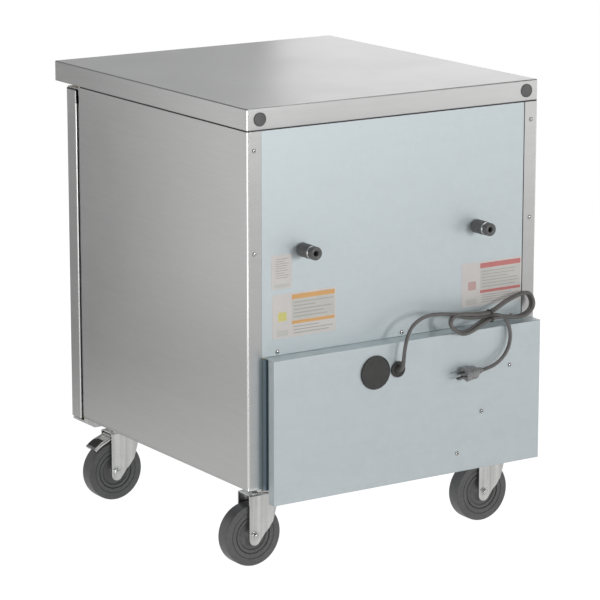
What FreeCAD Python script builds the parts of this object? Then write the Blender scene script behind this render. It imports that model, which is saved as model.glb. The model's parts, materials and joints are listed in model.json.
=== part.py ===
"""Proofing cabinet on casters: one door, heated and humidified holding space, refrigerated for retarding.

Millimetres, +Z up. The shapes are drawn about the cabinet's own centre plane (X = 0), its rear face
(Y = 0, the front looks along -Y) and the floor (Z = 0). export() then moves everything by ORIGIN, so that
the finished origin is the middle of the whole footprint on the floor. The hinge side is +X.
"""
import FreeCAD, Part
import math
import os

V = FreeCAD.Vector
UP = V(0, 0, 1)
REARWARD = V(0, 1, 0)

ORIGIN = V(14.6, -355.5, 0)

# Driving sizes of the cabinet
HALF_WIDTH = 349.25
BODY_LOW = 168.0
BODY_HIGH = 884.0
BODY_FRONT = -657.0
SHEET = 0.8
BEND = 3.0
WALL = 50.0
FLANGE_INNER = 317.0

# Worktop slab
TOP_HIGH = 926.0
TOP_FRONT = -761.0
TOP_SHEET = 1.2
TOP_LIP = 18.0
PLUG_X = 320.0
PLUG_Z = 904.6

# Holding space and the machine space behind its lower part
ROOM_HALF = HALF_WIDTH - WALL - 1.25
ROOM_FLOOR = 219.0
ROOM_HIGH = 818.0
ROOM_BACK = -52.4
STEP_FRONT = -265.6
STEP_HIGH = 484.8
MACHINE_FRONT = -215.0
MACHINE_HIGH = 434.0
BASE_HIGH = BODY_LOW + 1.2
FRAME_BACK = BODY_FRONT + 2.0
PANEL_HALF = HALF_WIDTH - BEND

# Rear cover of the machine space
COVER_LEFT = 313.0
COVER_RIGHT = -337.0
COVER_LOW = 141.0
COVER_HIGH = 433.5
COVER_OUT = 38.0
COVER_RETURN = 18.0
STEP_OUT = 13.0

# Things on the rear faces: (X, Z)
FLANGE_SCREWS = [(333, 844.5), (333, 642), (-333, 844.5), (-333, 642)]
PANEL_SCREWS = [(280.4, 441), (-16.3, 441), (-290.2, 441)]
COVER_SCREWS = [(-259.4, 348.5), (-189.1, 261.2), (-129.1, 180.8)]
SPACERS = [(222, 639), (-198, 639)]
DISC = (74.6, 379.0)
GROMMET = (20.1, 378.3)
SCREW_R = 2.0
SCREW_HEAD_R = 4.0
PANEL_FACE = -SHEET

# Door and its hinge line
DOOR_FRONT = -710.0
DOOR_BACK = -671.0
DOOR_LOW = 164.0
DOOR_HIGH = 876.0
HANDLE_LOW = 846.0
DOOR_BEND = 2.5
DOOR_MOUTH = 343.0
HINGE = (337.25, -690.0)
HINGE_PIN_R = 4.0
RUNNING = 0.05

# Casters: swivel lines (X, Y), and the sizes that all four share
CASTERS = {
    "rear_left": (282, -52),
    "rear_right": (-282, -52),
    "front_left": (282, -600),
    "front_right": (-282, -600),
}
BRAKED = ("front_left", "front_right")
WHEEL_R = 63.5
TRAIL = 33.0
FORK_HALF = 22.5
FORK_SHEET = 3.0
AXLE_R = 5.0
KINGPIN_R = 6.0
BRAKE_PIVOT = (7.0, 75.5)

# Mains lead
CORD_R = 3.8
LEAD = [
    (20.1, 33, 378.3),
    (20.1, 46, 378.3),
    (20.3, 54.5, 384.5),
    (20.3, 58.5, 398.5),
    (18.6, 58.8, 418.5),
    (13.2, 57.5, 440),
    (3, 55, 460),
    (-14.5, 52.3, 473.8),
    (-38, 50.3, 481.3),
    (-64, 49.4, 482.4),
    (-90, 48.8, 478.8),
    (-114, 47.4, 474.6),
]
TAIL = [
    (-224, 33, 458),
    (-241, 38, 453.5),
    (-250, 45, 437),
    (-252.5, 49, 414),
    (-247, 51, 391.5),
    (-233, 52.5, 373),
    (-213, 54, 360.5),
    (-190, 55.5, 354.5),
    (-172, 56.5, 353),
]
HANK = [
    (-104, 478.5), (-125, 477.5), (-150, 472), (-180, 468.8), (-212, 468), (-240, 479), (-271, 489.5),
    (-298, 494.3), (-318, 494.2), (-331, 485), (-337, 465), (-327, 449.5), (-309, 440.8), (-281, 440),
    (-250, 445.5), (-222, 448), (-205, 447.5), (-186, 442.5), (-163, 434.2), (-147, 429.5),
    (-126, 430.2), (-105, 441), (-94, 456), (-97.5, 470),
]
HANK_HALF = 7.8
TIE_X = -209.0


def box(x, y, z):
    """A block between pairs of X, Y and Z limits."""
    return Part.makeBox(x[1] - x[0], y[1] - y[0], z[1] - z[0], V(x[0], y[0], z[0]))


def rod(point, direction, radius, length):
    return Part.makeCylinder(radius, length, V(*point), direction)


def to_rear(x, z, y0, y1, radius):
    """A round bar along Y from y0 back to y1."""
    return rod((x, y0, z), REARWARD, radius, y1 - y0)


def prism_x(points, x0, x1):
    """A (Y, Z) outline swept from x0 to x1."""
    corners = [V(x0, y, z) for y, z in points]
    return Part.Face(Part.makePolygon(corners + corners[:1])).extrude(V(x1 - x0, 0, 0))


def turned(profile, centre, direction):
    """A solid of revolution from (distance along, radius) points about a line through centre."""
    corners = [V(radius, 0, along) for along, radius in profile]
    solid = Part.Face(Part.makePolygon(corners + corners[:1])).revolve(V(0, 0, 0), UP, 360)
    solid.Placement = FreeCAD.Placement(V(*centre), FreeCAD.Rotation(UP, direction))
    return solid


def cut_all(shape, tools):
    return shape.cut(Part.makeCompound(tools)) if tools else shape


def upright_edges(shape):
    return [edge for edge in shape.Edges if edge.BoundBox.ZLength > 1]


def export(name, *solids):
    """Write the node's solids, moved to the finished origin."""
    moved = [solid.translated(ORIGIN.negative()) for solid in solids]
    shape = moved[0] if len(moved) == 1 else Part.makeCompound(moved)
    shape.exportStep("parts/%s.step" % name)
    print(name, len(shape.Solids), "solids", round(shape.Volume / 1000, 1), "cm3")


# ---------------------------------------------------------------- worktop and insulated body

def plug_bores(depth):
    return [to_rear(x, PLUG_Z, -depth, 1, 12.1) for x in (-PLUG_X, PLUG_X)]


def worktop():
    """Folded stainless pan: a top, four turned-down rims and a lip turned in under them."""
    outer = box((-HALF_WIDTH, HALF_WIDTH), (TOP_FRONT, 0), (BODY_HIGH, TOP_HIGH))
    outer = outer.makeFillet(BEND, upright_edges(outer))
    outer = outer.makeFillet(1.0, [edge for edge in outer.Edges if edge.BoundBox.ZMin > TOP_HIGH - 1])
    inside = HALF_WIDTH - TOP_SHEET
    hollow = box((-inside, inside), (TOP_FRONT + TOP_SHEET, -TOP_SHEET),
                 (BODY_HIGH + TOP_SHEET, TOP_HIGH - TOP_SHEET))
    hollow = hollow.makeFillet(BEND - TOP_SHEET, upright_edges(hollow))
    mouth = HALF_WIDTH - TOP_LIP
    opening = box((-mouth, mouth), (TOP_FRONT + TOP_LIP, -TOP_LIP), (BODY_HIGH - 1, BODY_HIGH + 2))
    return cut_all(outer, [hollow, opening] + plug_bores(15))


def worktop_plugs():
    profile = [(-13, 0), (-13, 11.2), (-12, 12), (0, 12), (0, 13.75), (1.4, 13.75), (2.2, 12.8), (2.2, 0)]
    return [turned(profile, (x, 0, PLUG_Z), REARWARD) for x in (-PLUG_X, PLUG_X)]


def rear_bores(places, depth, radius=SCREW_R + 0.2):
    return [to_rear(x, z, -depth, 1, radius) for x, z in places]


def rear_corner(shape, side, radius):
    """Round the upright edge of a block that lies outermost on that side and rearmost."""
    limits = shape.BoundBox
    corner_x = limits.XMax if side > 0 else limits.XMin
    corner = [edge for edge in upright_edges(shape)
              if abs(edge.Vertexes[0].X - corner_x) < 0.01 and edge.Vertexes[0].Y > limits.YMax - 0.01]
    return shape.makeFillet(radius, corner)


def side_panel(side):
    """Side skin with the flange that turns in across the rear. side is +1 or -1."""
    outer = box(sorted((side * FLANGE_INNER, side * HALF_WIDTH)), (BODY_FRONT, 0), (BODY_LOW, BODY_HIGH))
    inner = box(sorted((side * (FLANGE_INNER - 1), side * (HALF_WIDTH - SHEET))), (BODY_FRONT - 1, -SHEET),
                (BODY_LOW - 1, BODY_HIGH + 1))
    panel = rear_corner(outer, side, BEND).cut(rear_corner(inner, side, BEND - SHEET))
    return cut_all(panel, rear_bores(FLANGE_SCREWS, 2))


def back_panel():
    panel = box((-PANEL_HALF, PANEL_HALF), (-2 * SHEET, -SHEET), (MACHINE_HIGH, BODY_HIGH))
    holes = rear_bores(FLANGE_SCREWS + PANEL_SCREWS, 3) + rear_bores(SPACERS, 3, 3.2)
    return cut_all(panel, holes)


def base_pan():
    pan = box((-HALF_WIDTH + SHEET, HALF_WIDTH - SHEET), (FRAME_BACK, -BEND), (BODY_LOW, BASE_HIGH))
    bores = [rod((x, y, BODY_LOW - 1), UP, 4.2, 4) for x, y in caster_bolt_places()]
    bores += [rod((x, y, BODY_LOW - 1), UP, SCREW_R + 0.2, 4) for x, y in HINGE_SCREWS_LOW]
    return cut_all(pan, bores)


def insulation():
    """Foam blocks that fill the walls, each a plain block, and the core of the worktop."""
    side = HALF_WIDTH - SHEET
    room = ROOM_HALF + SHEET
    back = -2 * SHEET
    step = STEP_FRONT + SHEET
    inside = HALF_WIDTH - TOP_SHEET
    top = BODY_HIGH
    core = box((-inside, inside), (TOP_FRONT + TOP_SHEET, -TOP_SHEET), (top + TOP_SHEET, TOP_HIGH - TOP_SHEET))
    blocks = [
        core.makeFillet(BEND, upright_edges(core)),
        rear_corner(box((room, side), (FRAME_BACK, back), (BASE_HIGH, top)), 1, BEND),
        rear_corner(box((-side, -room), (FRAME_BACK, back), (BASE_HIGH, top)), -1, BEND),
        box((-room, room), (FRAME_BACK, back), (ROOM_HIGH + SHEET, top)),
        box((-room, room), (ROOM_BACK + SHEET, back), (STEP_HIGH - SHEET, ROOM_HIGH + SHEET)),
        box((-room, room), (step, back), (MACHINE_HIGH + SHEET, STEP_HIGH - SHEET)),
        box((-room, room), (step, MACHINE_FRONT - SHEET), (BASE_HIGH, MACHINE_HIGH + SHEET)),
        box((-room, room), (FRAME_BACK, step), (BASE_HIGH, ROOM_FLOOR - SHEET)),
    ]
    bores = plug_bores(15) + rear_bores(FLANGE_SCREWS + PANEL_SCREWS, 14) + rear_bores(SPACERS, 20, 3.2)
    bores += [rod((x, y, BASE_HIGH - 1), UP, 4.2, 14) for x, y in caster_bolt_places()]
    bores += [rod((x, y, BASE_HIGH - 1), UP, SCREW_R + 0.2, 12) for x, y in HINGE_SCREWS_LOW]
    bores += [rod((x, FRAME_BACK - 1, z), REARWARD, SCREW_R + 0.2, 12) for x, z in HINGE_SCREWS_HIGH]
    return [cut_all(block, bores) for block in blocks]


def cabinet_liner():
    """One-piece liner of the holding space, stepped over the machine space."""
    def outline(gap):
        return [
            (FRAME_BACK, ROOM_FLOOR - gap),
            (STEP_FRONT + gap, ROOM_FLOOR - gap),
            (STEP_FRONT + gap, STEP_HIGH - gap),
            (ROOM_BACK + gap, STEP_HIGH - gap),
            (ROOM_BACK + gap, ROOM_HIGH + gap),
            (FRAME_BACK, ROOM_HIGH + gap),
        ]
    shell = prism_x(outline(SHEET), -ROOM_HALF - SHEET, ROOM_HALF + SHEET)
    return shell.cut(prism_x(outline(0), -ROOM_HALF, ROOM_HALF))


def machine_housing():
    """Sheet lining of the machine space: ceiling, front and two sides."""
    half = ROOM_HALF + SHEET
    ceiling_front = [
        (MACHINE_FRONT - SHEET, BASE_HIGH),
        (MACHINE_FRONT, BASE_HIGH),
        (MACHINE_FRONT, MACHINE_HIGH),
        (-2 * SHEET, MACHINE_HIGH),
        (-2 * SHEET, MACHINE_HIGH + SHEET),
        (MACHINE_FRONT - SHEET, MACHINE_HIGH + SHEET),
    ]
    sheet = prism_x(ceiling_front, -half, half)
    for side in (-1, 1):
        wall = box(sorted((side * ROOM_HALF, side * half)), (MACHINE_FRONT, -2 * SHEET), (BASE_HIGH, MACHINE_HIGH))
        sheet = sheet.fuse(wall)
    return sheet.removeSplitter()


def front_frame():
    """Flat face around the door opening, which the gasket seals on."""
    half = HALF_WIDTH - SHEET
    face = box((-half, half), (BODY_FRONT, FRAME_BACK), (BODY_LOW, BODY_HIGH))
    mouth = box((-ROOM_HALF, ROOM_HALF), (BODY_FRONT - 1, FRAME_BACK + 1), (ROOM_FLOOR, ROOM_HIGH))
    bores = [rod((x, BODY_FRONT - 1, z), REARWARD, SCREW_R + 0.2, 4) for x, z in HINGE_SCREWS_HIGH]
    return cut_all(face, [mouth] + bores)


# ---------------------------------------------------------------- rear face

def rear_cover():
    """Folded cover of the machine space: face, ledge, two side returns and a bottom return."""
    outer = box((COVER_RIGHT, COVER_LEFT), (0, COVER_OUT), (COVER_LOW, COVER_HIGH))
    outer = outer.makeFillet(1.6, [edge for edge in outer.Edges if edge.BoundBox.YMin > COVER_OUT - 1])
    inner = box((COVER_RIGHT + 1, COVER_LEFT - 1), (-1, COVER_OUT - 1), (COVER_LOW + 1, COVER_HIGH - 1))
    behind = box((COVER_RIGHT - 1, COVER_LEFT + 1), (-1, COVER_RETURN), (COVER_LOW - 1, COVER_HIGH - 1))
    sheet = outer.cut(inner).cut(behind)
    holes = [to_rear(x, z, 30, 40, SCREW_R + 0.2) for x, z in COVER_SCREWS]
    holes.append(to_rear(*DISC, 30, 40, 29.1))
    holes.append(to_rear(*GROMMET, 30, 40, 13.05))
    return cut_all(sheet, holes)


def frame_rail(edge, side):
    """Stepped upright beside the cover's edge: outer web, a step that faces rearward, inner web and a lip."""
    high = COVER_HIGH - 1.1
    deep = COVER_OUT - 1.1
    outer_web = (edge + side * 3.4, edge + side * 2.2)
    inner_web = (edge - side * 3, edge - side * 4.2)
    pieces = [
        (outer_web, (0.1, STEP_OUT)),
        ((outer_web[0], inner_web[1]), (STEP_OUT - 1.2, STEP_OUT)),
        (inner_web, (STEP_OUT - 1.2, deep)),
        ((inner_web[0], edge - side * 18), (deep - 1.2, deep)),
    ]
    return [box(sorted(x), y, (BODY_LOW, high)) for x, y in pieces]


def cover_frame():
    """Stepped uprights at the two sides of the cover and a shelf under its ledge."""
    high = COVER_HIGH - 1.1
    shelf = box((COVER_RIGHT + 3, COVER_LEFT - 3), (0.1, COVER_OUT - 1.1), (high - 1.2, high))
    return shelf.fuse(frame_rail(COVER_LEFT, 1) + frame_rail(COVER_RIGHT, -1)).removeSplitter()


def pan_head(point, direction, shank):
    """Pan-head screw: the head stands along direction and the shank runs the other way."""
    profile = [(-shank, 0), (-shank, SCREW_R), (0, SCREW_R), (0, SCREW_HEAD_R), (1.2, SCREW_HEAD_R), (2.0, 3.2),
               (2.3, 2.0), (2.3, 0)]
    return turned(profile, point, direction)


def pan_head_screws():
    """Every pan-head screw: rear flanges, back panel, rear cover and the two hinges."""
    screws = [pan_head((x, 0, z), REARWARD, 12) for x, z in FLANGE_SCREWS]
    screws += [pan_head((x, PANEL_FACE, z), REARWARD, 12) for x, z in PANEL_SCREWS]
    screws += [pan_head((x, COVER_OUT, z), REARWARD, 12) for x, z in COVER_SCREWS]
    screws += [pan_head((x, BODY_FRONT - 2, z), REARWARD.negative(), 12) for x, z in HINGE_SCREWS_HIGH]
    screws += [pan_head((x, y, BODY_LOW - 10), UP.negative(), 18) for x, y in HINGE_SCREWS_LOW]
    return screws


def blanking_plug():
    profile = [(-8, 0), (-8, 28), (-6, 29), (0, 29), (0, 34.5), (2.6, 34.5), (4.4, 32.6), (4.8, 30.5), (4.8, 0)]
    return turned(profile, (DISC[0], COVER_OUT, DISC[1]), REARWARD)


def cable_grommet():
    profile = [(-7, CORD_R), (-7, 12), (-5.5, 13), (0, 13), (0, 16.5), (3, 16.5), (5, 14.5), (6, 11), (6, CORD_R)]
    return turned(profile, (GROMMET[0], COVER_OUT, GROMMET[1]), REARWARD)


def wall_spacer(x, z):
    """Two-step bumper that keeps the cabinet 50 mm off a wall, with a sunk bolt."""
    profile = [(0, 3.1), (0, 14), (29, 14), (30, 13), (30.8, 12.4), (31.8, 12.4), (32.6, 13.4), (48.8, 13.4),
               (50.8, 11.6), (50.8, 5.5), (16, 5.5), (16, 3.1)]
    return turned(profile, (x, PANEL_FACE, z), REARWARD)


def spacer_bolts():
    profile = [(-14, 0), (-14, 3), (16, 3), (16, 5.2), (19.5, 5.2), (20.5, 4.2), (20.5, 0)]
    return [turned(profile, (x, PANEL_FACE, z), REARWARD) for x, z in SPACERS]


def rear_labels():
    """Three blank stickers on the back panel."""
    faces = [((247, 294), (565.5, 634)), ((143, 292), (466.6, 555.5)), ((-315, -164), (472, 563))]
    return [box(x, (PANEL_FACE, PANEL_FACE + 0.4), z) for x, z in faces]


# ---------------------------------------------------------------- machine space

COMPRESSOR = (-165.0, -108.0)
COMPRESSOR_FEET = [(-255, -168), (-75, -168), (-255, -48), (-75, -48)]
CONDENSER_FAN = (145.0, -92.0, 300.0)


def compressor():
    """Hermetic pot on a foot plate."""
    pot = [(186, 0), (186, 52), (194, 70), (206, 78), (258, 78), (258, 84), (264, 84), (264, 78), (300, 74),
           (322, 58), (334, 30), (336, 0)]
    body = turned(pot, (COMPRESSOR[0], COMPRESSOR[1], 0), UP)
    plate = box((-268, -62), (-180, -36), (184, 187))
    plate = cut_all(plate, [rod((x, y, 180), UP, 6.1, 10) for x, y in COMPRESSOR_FEET])
    stub = rod((COMPRESSOR[0] + 60, COMPRESSOR[1], 285), V(1, 0, 0.4), 4, 45)
    relay = box((COMPRESSOR[0] - 30, COMPRESSOR[0] + 30), (-46, -14), (215, 262))
    return body.fuse([plate, stub, relay]).removeSplitter()


def compressor_feet():
    profile = [(BASE_HIGH, 0), (BASE_HIGH, 11), (180, 9), (184, 11), (184, 6), (190, 6), (192, 8), (194, 0)]
    return [turned(profile, (x, y, 0), UP) for x, y in COMPRESSOR_FEET]


def finned_block(x, y, z, fins, rows, ends):
    """Heat exchanger: fins across X on tubes along X, with an end plate at each side of Z limits ends."""
    pitch = (x[1] - x[0] - 1.2) / fins
    plates = [box((x[0] + i * pitch, x[0] + i * pitch + 1.2), y, z if 0 < i < fins else ends)
              for i in range(fins + 1)]
    tubes = []
    for i in range(rows):
        height = z[0] + (i + 0.5) * (z[1] - z[0]) / rows
        tubes.append(rod((x[0] - 6, (y[0] + y[1]) / 2, height), V(1, 0, 0), 5, x[1] - x[0] + 12))
    return plates[0].fuse(plates[1:] + tubes).removeSplitter()


def condenser_coil():
    return finned_block((80, 210), (-52, -12), (BASE_HIGH + 6, 408), 14, 7, (BASE_HIGH, 412))


def fan_motor(centre, length, reach, stand):
    """Round motor with a shaft along +Y for a fan, on a cross bar with two posts that end at height stand."""
    x, y, z = centre
    motor = to_rear(x, z, y - 16 - length, y - 16, 24)
    shaft = to_rear(x, z, y - 16, y + 8, 3)
    depth = (y - 22 - length, y - 16 - length)
    bar = box((x - reach, x + reach), depth, (z - 8, z + 8))
    posts = [box((x + side * reach - 6, x + side * reach + 6), depth, sorted((z, stand))) for side in (-1, 1)]
    return motor.fuse([shaft, bar] + posts).removeSplitter()


def fan_blades(centre, radius, blades):
    """Axial fan: a hub with a bore that runs on the motor's shaft, and pitched blades."""
    x, y, z = centre
    hub = to_rear(x, z, y - 12, y + 12, 16)
    fan = hub
    for i in range(blades):
        blade = box((12, radius), (-0.8, 0.8), (-17, 17))
        blade.rotate(V(0, 0, 0), V(1, 0, 0), 62)
        blade.rotate(V(0, 0, 0), V(0, 1, 0), i * 360 / blades)
        fan = fan.fuse(blade.translated(V(x, y, z)))
    return fan.removeSplitter().cut(to_rear(x, z, y - 13, y + 13, 3 + RUNNING))


# ---------------------------------------------------------------- holding space

DUCT_X = (-200.0, 200.0)
DUCT_FRONT = -200.0
DUCT_LOW = 706.0
ROOM_FAN = (-85.0, -110.0, 762.0)
PILASTERS = [(-625, ROOM_FLOOR + 8, 800), (-305, ROOM_FLOOR + 8, 800), (-110, STEP_HIGH + 6, 700)]
SHELVES = {"shelf_lower": (346.0, -285.0), "shelf_middle": (520.0, -66.0), "shelf_upper": (622.0, -66.0)}
SHELF_FRONT = -636.0
SHELF_HALF = 290.0
CONTROL_X = (95.0, 285.0)
CONTROL_Y = (-640.0, -560.0)
CONTROL_LOW = 768.0
KNOB = (140.0, 793.0)
SWITCH = (235.0, 793.0)
ROCKER_DEEP = 3.0


def air_duct_cover():
    """Housing around the room's coil and fan, open to the ceiling and the back wall."""
    outer = box(DUCT_X, (DUCT_FRONT, ROOM_BACK - 0.2), (DUCT_LOW, ROOM_HIGH - 0.2))
    inner = box((DUCT_X[0] + 1, DUCT_X[1] - 1), (DUCT_FRONT + 1, 0), (DUCT_LOW + 1, ROOM_HIGH + 1))
    inlet = to_rear(ROOM_FAN[0], ROOM_FAN[2], DUCT_FRONT - 5, DUCT_FRONT + 5, 48)
    slots = [box((20, 180), (DUCT_FRONT - 2, DUCT_FRONT + 2), (z, z + 6)) for z in range(722, 800, 14)]
    return cut_all(outer, [inner, inlet] + slots)


def evaporator_coil():
    return finned_block((30, 184), (-150, -70), (716, 806), 14, 3, (716, ROOM_HIGH))


def humidity_pan():
    outer = box((-125, 125), (-490, -330), (ROOM_FLOOR + 14, ROOM_FLOOR + 62))
    return outer.cut(box((-123.5, 123.5), (-488.5, -331.5), (ROOM_FLOOR + 15.5, ROOM_FLOOR + 70)))


def pan_heater():
    return box((-110, 110), (-475, -345), (ROOM_FLOOR, ROOM_FLOOR + 14))


def control_box():
    """Thermostat housing under the ceiling, just inside the door."""
    case = box(CONTROL_X, CONTROL_Y, (CONTROL_LOW, ROOM_HIGH))
    spindle = rod((KNOB[0], CONTROL_Y[0] - 10, KNOB[1]), REARWARD, 3, 10)
    x, z = SWITCH
    window = box((x - 10, x + 10), (CONTROL_Y[0] - 1, CONTROL_Y[0] + 9), (z - 15, z + 15))
    pivot = rod((x - 12.5, CONTROL_Y[0] + ROCKER_DEEP, z), V(1, 0, 0), 1.5 + RUNNING, 25)
    return cut_all(case, [window, pivot]).fuse(spindle)


def temperature_knob():
    """Pointer knob on the thermostat's spindle."""
    y = CONTROL_Y[0] - 1
    body = rod((KNOB[0], y - 12, KNOB[1]), REARWARD, 15, 12)
    grip = box((KNOB[0] - 3.5, KNOB[0] + 3.5), (y - 14.5, y - 12), (KNOB[1] - 14, KNOB[1] + 14))
    return body.fuse(grip).removeSplitter().cut(rod((KNOB[0], y - 10, KNOB[1]), REARWARD, 3 + RUNNING, 12))


def power_switch():
    """Rocker, seen from the side: two faces that meet over its pivot."""
    x, z = SWITCH
    face = CONTROL_Y[0]
    outline = [(face + 6, z - 9), (face + 6, z + 9), (face - 1, z + 11), (face + 0.5, z), (face - 4, z - 10)]
    pin = rod((x - 12, face + ROCKER_DEEP, z), V(1, 0, 0), 1.5, 24)
    return prism_x(outline, x - 8.5, x + 8.5).fuse(pin)


def pilasters():
    """Slotted uprights: front, middle and rear, one each side."""
    uprights = []
    for y, low, high in PILASTERS:
        for side in (-1, 1):
            bar = box(sorted((side * (ROOM_HALF - 5), side * (ROOM_HALF - 0.1))), (y - 8, y + 8), (low, high))
            count = int((high - low - 20) / 34)
            slots = [box(sorted((side * (ROOM_HALF - 6), side * (ROOM_HALF - 2))), (y - 5, y + 5),
                         (low + 20 + 34 * i, low + 24 + 34 * i)) for i in range(count)]
            uprights.append(cut_all(bar, slots))
    return uprights


def shelf_supports(name):
    """Y of the front and rear uprights that carry a shelf."""
    return (-625, -305) if name == "shelf_lower" else (-625, -110)


def shelf_clips():
    clips = []
    for name, (z, _) in SHELVES.items():
        for y in shelf_supports(name):
            for side in (-1, 1):
                clips.append(box(sorted((side * 281, side * (ROOM_HALF - 5))), (y - 6, y + 6), (z - 11, z - 3)))
    return clips


def wire_shelf(z, rear):
    """Welded wire shelf: a rod frame, two bearers under it and wires from front to back on top."""
    ends = (SHELF_FRONT, rear)
    rods = [rod((-SHELF_HALF, y, z), V(1, 0, 0), 3, 2 * SHELF_HALF) for y in ends]
    rods += [rod((x, SHELF_FRONT, z), REARWARD, 3, rear - SHELF_FRONT) for x in (-SHELF_HALF, SHELF_HALF)]
    rods += [Part.makeSphere(3, V(x, y, z)) for x in (-SHELF_HALF, SHELF_HALF) for y in ends]
    for share in (0.3, 0.7):
        y = SHELF_FRONT + share * (rear - SHELF_FRONT)
        rods.append(rod((-SHELF_HALF, y, z), V(1, 0, 0), 2.5, 2 * SHELF_HALF))
    wires = 17
    for i in range(1, wires):
        x = -SHELF_HALF + 2 * SHELF_HALF * i / wires
        rods.append(rod((x, SHELF_FRONT, z + 2.5), REARWARD, 1.6, rear - SHELF_FRONT))
    return rods[0].fuse(rods[1:])


# ---------------------------------------------------------------- door and hinges

HINGE_SCREWS_HIGH = [(328.5, 870.2), (342.5, 870.2)]
HINGE_SCREWS_LOW = [(335.5, -645), (335.5, -622)]
BUSH_R = 8.0
BUSH_LONG = 14.0


def bush_seat(low):
    return rod((HINGE[0], HINGE[1], low), UP, BUSH_R, BUSH_LONG)


def door_skin():
    """Stainless pan, open to the rear, from the door's foot up to the handle."""
    outer = box((-HALF_WIDTH, HALF_WIDTH), (DOOR_FRONT, DOOR_BACK), (DOOR_LOW, HANDLE_LOW))
    outer = outer.makeFillet(DOOR_BEND, upright_edges(outer))
    inside = HALF_WIDTH - SHEET
    hollow = box((-inside, inside), (DOOR_FRONT + SHEET, DOOR_BACK - SHEET), (DOOR_LOW + SHEET, HANDLE_LOW - SHEET))
    hollow = hollow.makeFillet(DOOR_BEND - SHEET, upright_edges(hollow))
    mouth = box((-DOOR_MOUTH, DOOR_MOUTH), (DOOR_BACK - 3, DOOR_BACK + 1), (DOOR_LOW + 6, HANDLE_LOW - 6))
    return outer.cut(hollow).cut(mouth).cut(bush_seat(DOOR_LOW))


def door_foam():
    inside = HALF_WIDTH - SHEET
    block = box((-inside, inside), (DOOR_FRONT + SHEET, DOOR_BACK - 2), (DOOR_LOW + SHEET, HANDLE_LOW - SHEET))
    return block.makeFillet(DOOR_BEND, upright_edges(block)).cut(bush_seat(DOOR_LOW))


def door_liner():
    """Inner face of the door, with a shallow raised pad inside the gasket."""
    plate = box((-DOOR_MOUTH, DOOR_MOUTH), (DOOR_BACK - 2, DOOR_BACK), (DOOR_LOW + 6, HANDLE_LOW - 6))
    pad = box((-286, 286), (DOOR_BACK, DOOR_BACK + 8), (240, 760))
    rim = [edge for edge in pad.Edges if edge.BoundBox.YMin > DOOR_BACK + 7 or edge.BoundBox.YLength > 1]
    return plate.fuse(pad.makeFillet(3.0, rim)).removeSplitter()


def door_gasket():
    outer = box((-335, 335), (DOOR_BACK, BODY_FRONT - 0.2), (190, 845))
    return outer.cut(box((-313, 313), (DOOR_BACK - 1, BODY_FRONT + 1), (212, 823)))


def door_handle():
    """Full-width grip along the door's head: a pull pocket with a lip that hooks down behind the front."""
    bar = box((-HALF_WIDTH, HALF_WIDTH), (DOOR_FRONT, DOOR_BACK), (HANDLE_LOW, DOOR_HIGH))
    bar = bar.makeFillet(DOOR_BEND, upright_edges(bar))
    mouth = box((-325, 300), (DOOR_FRONT - 1, -686), (850, 864))
    behind = box((-325, 300), (DOOR_FRONT + 4, -686), (850, 872))
    return cut_all(bar, [mouth, behind, bush_seat(DOOR_HIGH - BUSH_LONG)])


def hinge_bushes():
    bushes = []
    for low in (DOOR_LOW, DOOR_HIGH - BUSH_LONG):
        bore = rod((HINGE[0], HINGE[1], low - 1), UP, HINGE_PIN_R + RUNNING, BUSH_LONG + 2)
        bushes.append(bush_seat(low).cut(bore))
    return bushes


def upper_hinge():
    plate = box((322, 349), (-704, BODY_FRONT), (877, 880))
    riser = box((322, 349), (BODY_FRONT - 2, BODY_FRONT), (864, BODY_HIGH))
    pin = rod((HINGE[0], HINGE[1], DOOR_HIGH - 12), UP, HINGE_PIN_R, 15)
    bores = [rod((x, BODY_FRONT - 3, z), REARWARD, SCREW_R + 0.2, 4) for x, z in HINGE_SCREWS_HIGH]
    return cut_all(plate.fuse([riser, pin]).removeSplitter(), bores)


def lower_hinge():
    plate = box((322, 349), (-704, -612), (BODY_LOW - 10, BODY_LOW - 5))
    block = box((322, 349), (BODY_FRONT, -612), (BODY_LOW - 5, BODY_LOW))
    pin = rod((HINGE[0], HINGE[1], BODY_LOW - 8), UP, HINGE_PIN_R, 16)
    bores = [rod((x, y, BODY_LOW - 11), UP, SCREW_R + 0.2, 12) for x, y in HINGE_SCREWS_LOW]
    return cut_all(plate.fuse([block, pin]).removeSplitter(), bores)


# ---------------------------------------------------------------- casters

PLATE_BOLTS = [(-28, -38), (28, -38), (-28, 38), (28, 38)]


def caster_bolt_places():
    return [(x + dx, y + dy) for x, y in CASTERS.values() for dx, dy in PLATE_BOLTS]


def caster_plate(x, y):
    """Top plate with its ball-race ring and the kingpin that holds the fork up."""
    plate = box((x - 37.5, x + 37.5), (y - 47.5, y + 47.5), (BODY_LOW - 3, BODY_LOW))
    plate = cut_all(plate, [rod((x + dx, y + dy, 160), UP, 4.2, 10) for dx, dy in PLATE_BOLTS])
    ring = [(151, 25), (151, 29), (BODY_LOW - 3, 29), (BODY_LOW - 3, 0), (155.1, 0), (155.1, 25)]
    race = turned(ring, (x, y, 0), UP)
    kingpin = rod((x, y, 144), UP, KINGPIN_R, 14)
    nut = rod((x, y, 141.5), UP, 10, 5)
    return plate.fuse([race, kingpin, nut]).removeSplitter()


def caster_bolts():
    profile = [(160, 0), (160, 6.5), (165, 6.5), (165, 4), (181, 4), (181, 0)]
    return [turned(profile, (x, y, 0), UP) for x, y in caster_bolt_places()]


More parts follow.
